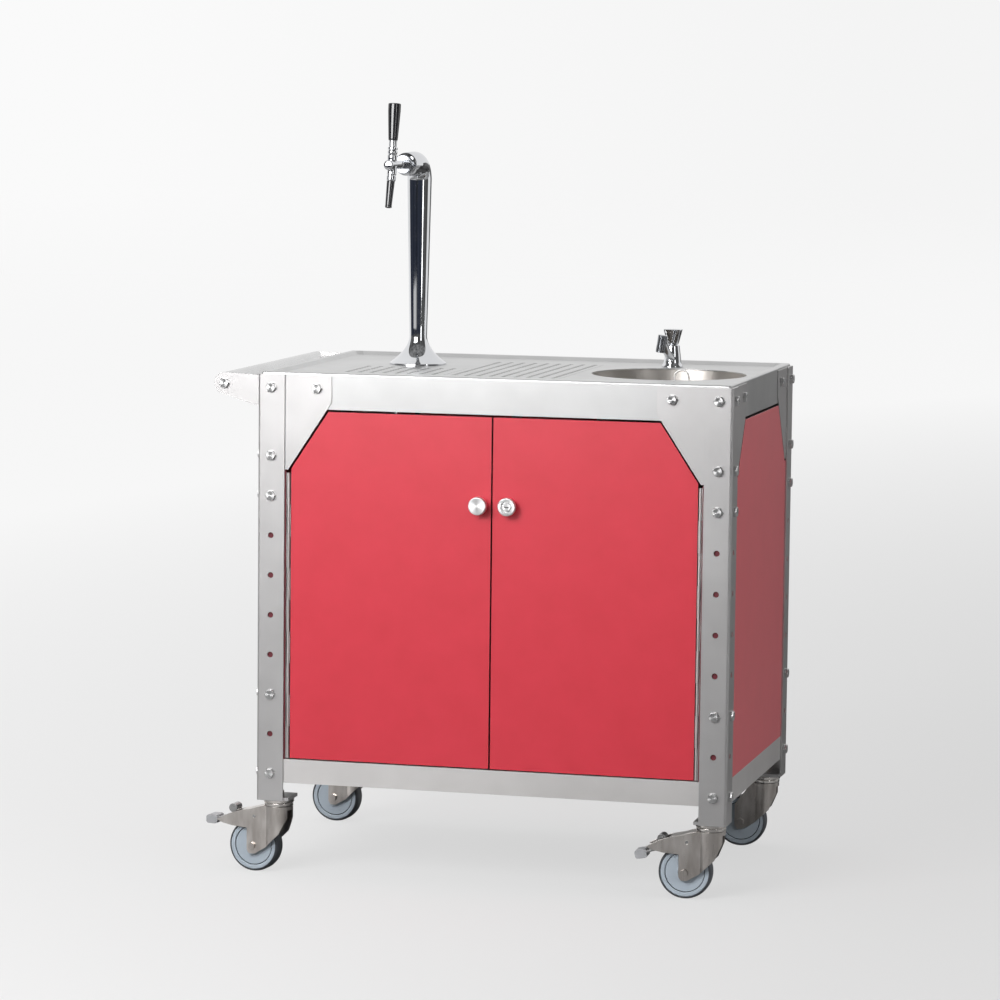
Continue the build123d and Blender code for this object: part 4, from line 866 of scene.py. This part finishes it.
def seen_rays(owner):
    """1 for a ray from the camera, from a mirror-like surface or through a clear one, and 0 for the rest."""
    path = add(owner, "ShaderNodeLightPath")
    share = path.outputs["Is Camera Ray"]
    for kind in ("Is Glossy Ray", "Is Transmission Ray"):
        larger = add(owner, "ShaderNodeMath", operation="MAXIMUM")
        wire(owner, share, larger.inputs[0])
        wire(owner, path.outputs[kind], larger.inputs[1])
        share = larger.outputs["Value"]
    return share


def distance(mat, **settings):
    """How far the piece's own coordinates, moved and scaled, are from zero."""
    length = add(mat, "ShaderNodeVectorMath", operation="LENGTH")
    wire(mat, mapped(mat, **settings), length.inputs[0])
    return length.outputs["Value"]


bpy.ops.mesh.primitive_circle_add(vertices=floor_sides, radius=floor_radius, fill_type="NGON")
floor = bpy.context.object
floor.name = "floor"
floor_mat, floor_shader = new_material("floor")
floor_shader.inputs["Roughness"].default_value = floor_roughness
floor_shader.inputs["Specular IOR Level"].default_value = 0.0
floor_noise = grain(floor_mat, floor_patches)
tint(floor_mat, floor_noise, floor_bounce, floor_bounce_high, floor_shader.inputs["Base Color"])
shade = add(floor_mat, "ShaderNodeBsdfDiffuse", Color=floor_shade)
glow = add(floor_mat, "ShaderNodeEmission")
glow_reach = distance(floor_mat, Location=glow_shift, Scale=glow_stretch)
glow_share = remap(floor_mat, glow_reach, (0, floor_radius), (0, 1))
glow_stops = [(share, (grey, grey, grey)) for share, grey in glow_greys]
wire(floor_mat, ramp(floor_mat, glow_share, glow_stops), glow.inputs["Color"])
pale = add(floor_mat, "ShaderNodeAddShader")
wire(floor_mat, shade.outputs["BSDF"], pale.inputs[0])
wire(floor_mat, glow.outputs["Emission"], pale.inputs[1])
near = mixed(floor_mat, seen_rays(floor_mat), floor_shader.outputs["BSDF"], pale.outputs["Shader"])
far_out = remap(floor_mat, distance(floor_mat), (fade_start, floor_radius), (0, 1),
                interpolation_type="SMOOTHSTEP")
clear = add(floor_mat, "ShaderNodeBsdfTransparent")
faded = mixed(floor_mat, far_out, near, clear.outputs["BSDF"])
wire(floor_mat, faded, floor_mat.node_tree.nodes["Material Output"].inputs["Surface"])
floor.data.materials.append(floor_mat)


# World: an even light, and a backdrop that gets a little darker to the right

ambient_strength = 0.36
backdrop_left = 0.955
backdrop_left_at = -0.34
backdrop_right = 0.905
backdrop_right_at = -0.16

world = scene.world or bpy.data.worlds.new("studio")
scene.world = world
world.use_nodes = True
world.node_tree.nodes.clear()
ambient = add(world, "ShaderNodeBackground", Color=(1, 1, 1, 1), Strength=ambient_strength)
heading = add(world, "ShaderNodeTexCoord")
parts = add(world, "ShaderNodeSeparateXYZ")
wire(world, heading.outputs["Generated"], parts.inputs["Vector"])
backdrop = add(world, "ShaderNodeBackground", Strength=1.0)
backdrop_grey = remap(world, parts.outputs["X"], (backdrop_left_at, backdrop_right_at),
                      (backdrop_left, backdrop_right))
wire(world, backdrop_grey, backdrop.inputs["Color"])
blend = mixed(world, seen_rays(world), ambient.outputs["Background"], backdrop.outputs["Background"])
world_out = add(world, "ShaderNodeOutputWorld")
wire(world, blend, world_out.inputs["Surface"])


# Lamps

def soft_light(name, place, aim, width, height, power, mirrored=True):
    """A rectangular lamp of that many watts. One that isn't mirrored doesn't show in polished metal."""
    data = bpy.data.lights.new(name, "AREA")
    data.energy = power
    data.shape = "RECTANGLE"
    data.size = width
    data.size_y = height
    lamp = bpy.data.objects.new(name, data)
    lamp.location = place
    lamp.rotation_euler = (Vector(aim) - Vector(place)).to_track_quat("-Z", "Y").to_euler()
    lamp.visible_camera = False
    lamp.visible_glossy = mirrored
    scene.collection.objects.link(lamp)


soft_light("key", place=(-0.9, -2.55, 1.92), aim=(0, 0, 0.8), width=1.8, height=1.5, power=80)
soft_light("top", place=(-0.3, 0.5, 3.4), aim=(0, 0, 0.9), width=2.2, height=2.2, power=24, mirrored=False)
soft_light("side", place=(2.5, -0.55, 1.0), aim=(0.4, 0, 0.5), width=1.2, height=1.4, power=13,
           mirrored=False)
soft_light("strip", place=(3.2, -2.6, 1.7), aim=(0, 0, 0.8), width=0.35, height=2.2, power=14)


# Glowing studio surfaces that only polished metal sees, as painted reflections of lit and dark surroundings:
# edges as (radius, height) in metres, azimuths in degrees

card_steps = 48
card_patches = (0.5, 0.5, 0.1)
card_contrast = 0.6
room_radius = 9.0
room_foot = -0.5
room_top = 10.0
room_from = -182
room_to = 16
skirting_radius = 8.9
card_start = 0.5
card_lift = 0.002
under_lift = 0.003
bluish = (0.8, 0.95, 1.4)


def reflection_card(name, grey, low_edge, high_edge, first, last, tone=(1.0, 1.0, 1.0)):
    """A glowing strip round the floor's middle, from the first to the last azimuth."""
    verts = []
    for step in range(card_steps + 1):
        turn = math.radians(first + (last - first) * step / card_steps)
        for radius, height in (low_edge, high_edge):
            verts.append((radius * math.cos(turn), radius * math.sin(turn), height))
    mesh = bpy.data.meshes.new(name)
    mesh.from_pydata(verts, [], [(2 * i, 2 * i + 2, 2 * i + 3, 2 * i + 1) for i in range(card_steps)])
    card = bpy.data.objects.new(name, mesh)
    scene.collection.objects.link(card)
    mat, shader = new_material(name)
    mat.node_tree.nodes.remove(shader)
    emission = add(mat, "ShaderNodeEmission")
    low = [grey * (1 - card_contrast) * part for part in tone]
    high = [grey * (1 + card_contrast) * part for part in tone]
    tint(mat, grain(mat, card_patches, detail=1.0), low, high, emission.inputs["Color"])
    wire(mat, emission.outputs["Emission"], mat.node_tree.nodes["Material Output"].inputs["Surface"])
    mesh.materials.append(mat)
    for ray in ("camera", "diffuse", "transmission", "volume_scatter", "shadow"):
        setattr(card, "visible_" + ray, False)


def wall_card(name, grey, radius, bottom, top, first, last, tone=(1.0, 1.0, 1.0)):
    """An upright card, such as a wall."""
    reflection_card(name, grey, (radius, bottom), (radius, top), first, last, tone)


def level_card(name, grey, height, inner, outer, first, last):
    """A level card, such as a part of the floor."""
    reflection_card(name, grey, (inner, height), (outer, height), first, last)


wall_card("dark_wall", grey=0.10, radius=room_radius, bottom=room_foot, top=room_top,
          first=room_from, last=room_to)
wall_card("dark_corner", grey=0.15, radius=room_radius, bottom=room_foot, top=1.8, first=52, last=95)
wall_card("dark_skirting", grey=0.035, radius=skirting_radius, bottom=room_foot, top=0.8,
          first=room_from, last=-50, tone=bluish)
wall_card("grey_band", grey=0.75, radius=3.0, bottom=0.45, top=0.82, first=-140, last=-98)
# the floor as polished metal sees it, in painted light and shade: pale to the front left, dim to the front
# right, grey to the right and dark to the rear right
level_card("pale_floor", grey=0.44, height=card_lift, inner=card_start, outer=room_radius,
           first=room_from, last=-93)
level_card("dim_floor", grey=0.22, height=card_lift, inner=card_start, outer=room_radius,
           first=-93, last=-25)
level_card("grey_floor", grey=0.34, height=card_lift, inner=card_start, outer=room_radius,
           first=-25, last=40)
level_card("dark_floor", grey=0.07, height=card_lift, inner=card_start, outer=room_radius,
           first=40, last=95)
# painted shadow: a near black card under the cart, which polished metal sees in place of the cart's shadow
# on the floor
level_card("painted_shadow_under", grey=0.05, height=under_lift, inner=0.0, outer=card_start, first=-180, last=180)
level_card("dark_ceiling", grey=0.20, height=room_top, inner=0.0, outer=room_radius,
           first=room_from, last=room_to)


# Camera, solved from the photo

camera_place = Vector((1.90731, -7.45700, 1.52920))
camera_yaw = 14.398
camera_pitch = 6.194
camera_roll = 0.634
camera_lens = 145.75
camera_sensor = 36.0
camera_data = bpy.data.cameras.new("camera")
camera_data.lens = camera_lens
camera_data.sensor_width = camera_sensor
camera = bpy.data.objects.new("camera", camera_data)
camera.matrix_world = (
    Matrix.Translation(camera_place)
    @ Matrix.Rotation(math.radians(camera_yaw), 4, "Z")
    @ Matrix.Rotation(math.radians(90 - camera_pitch), 4, "X")
    @ Matrix.Rotation(math.radians(camera_roll), 4, "Z")
)
scene.collection.objects.link(camera)
scene.camera = camera
bpy.context.scene.view_settings.view_transform = "Standard"
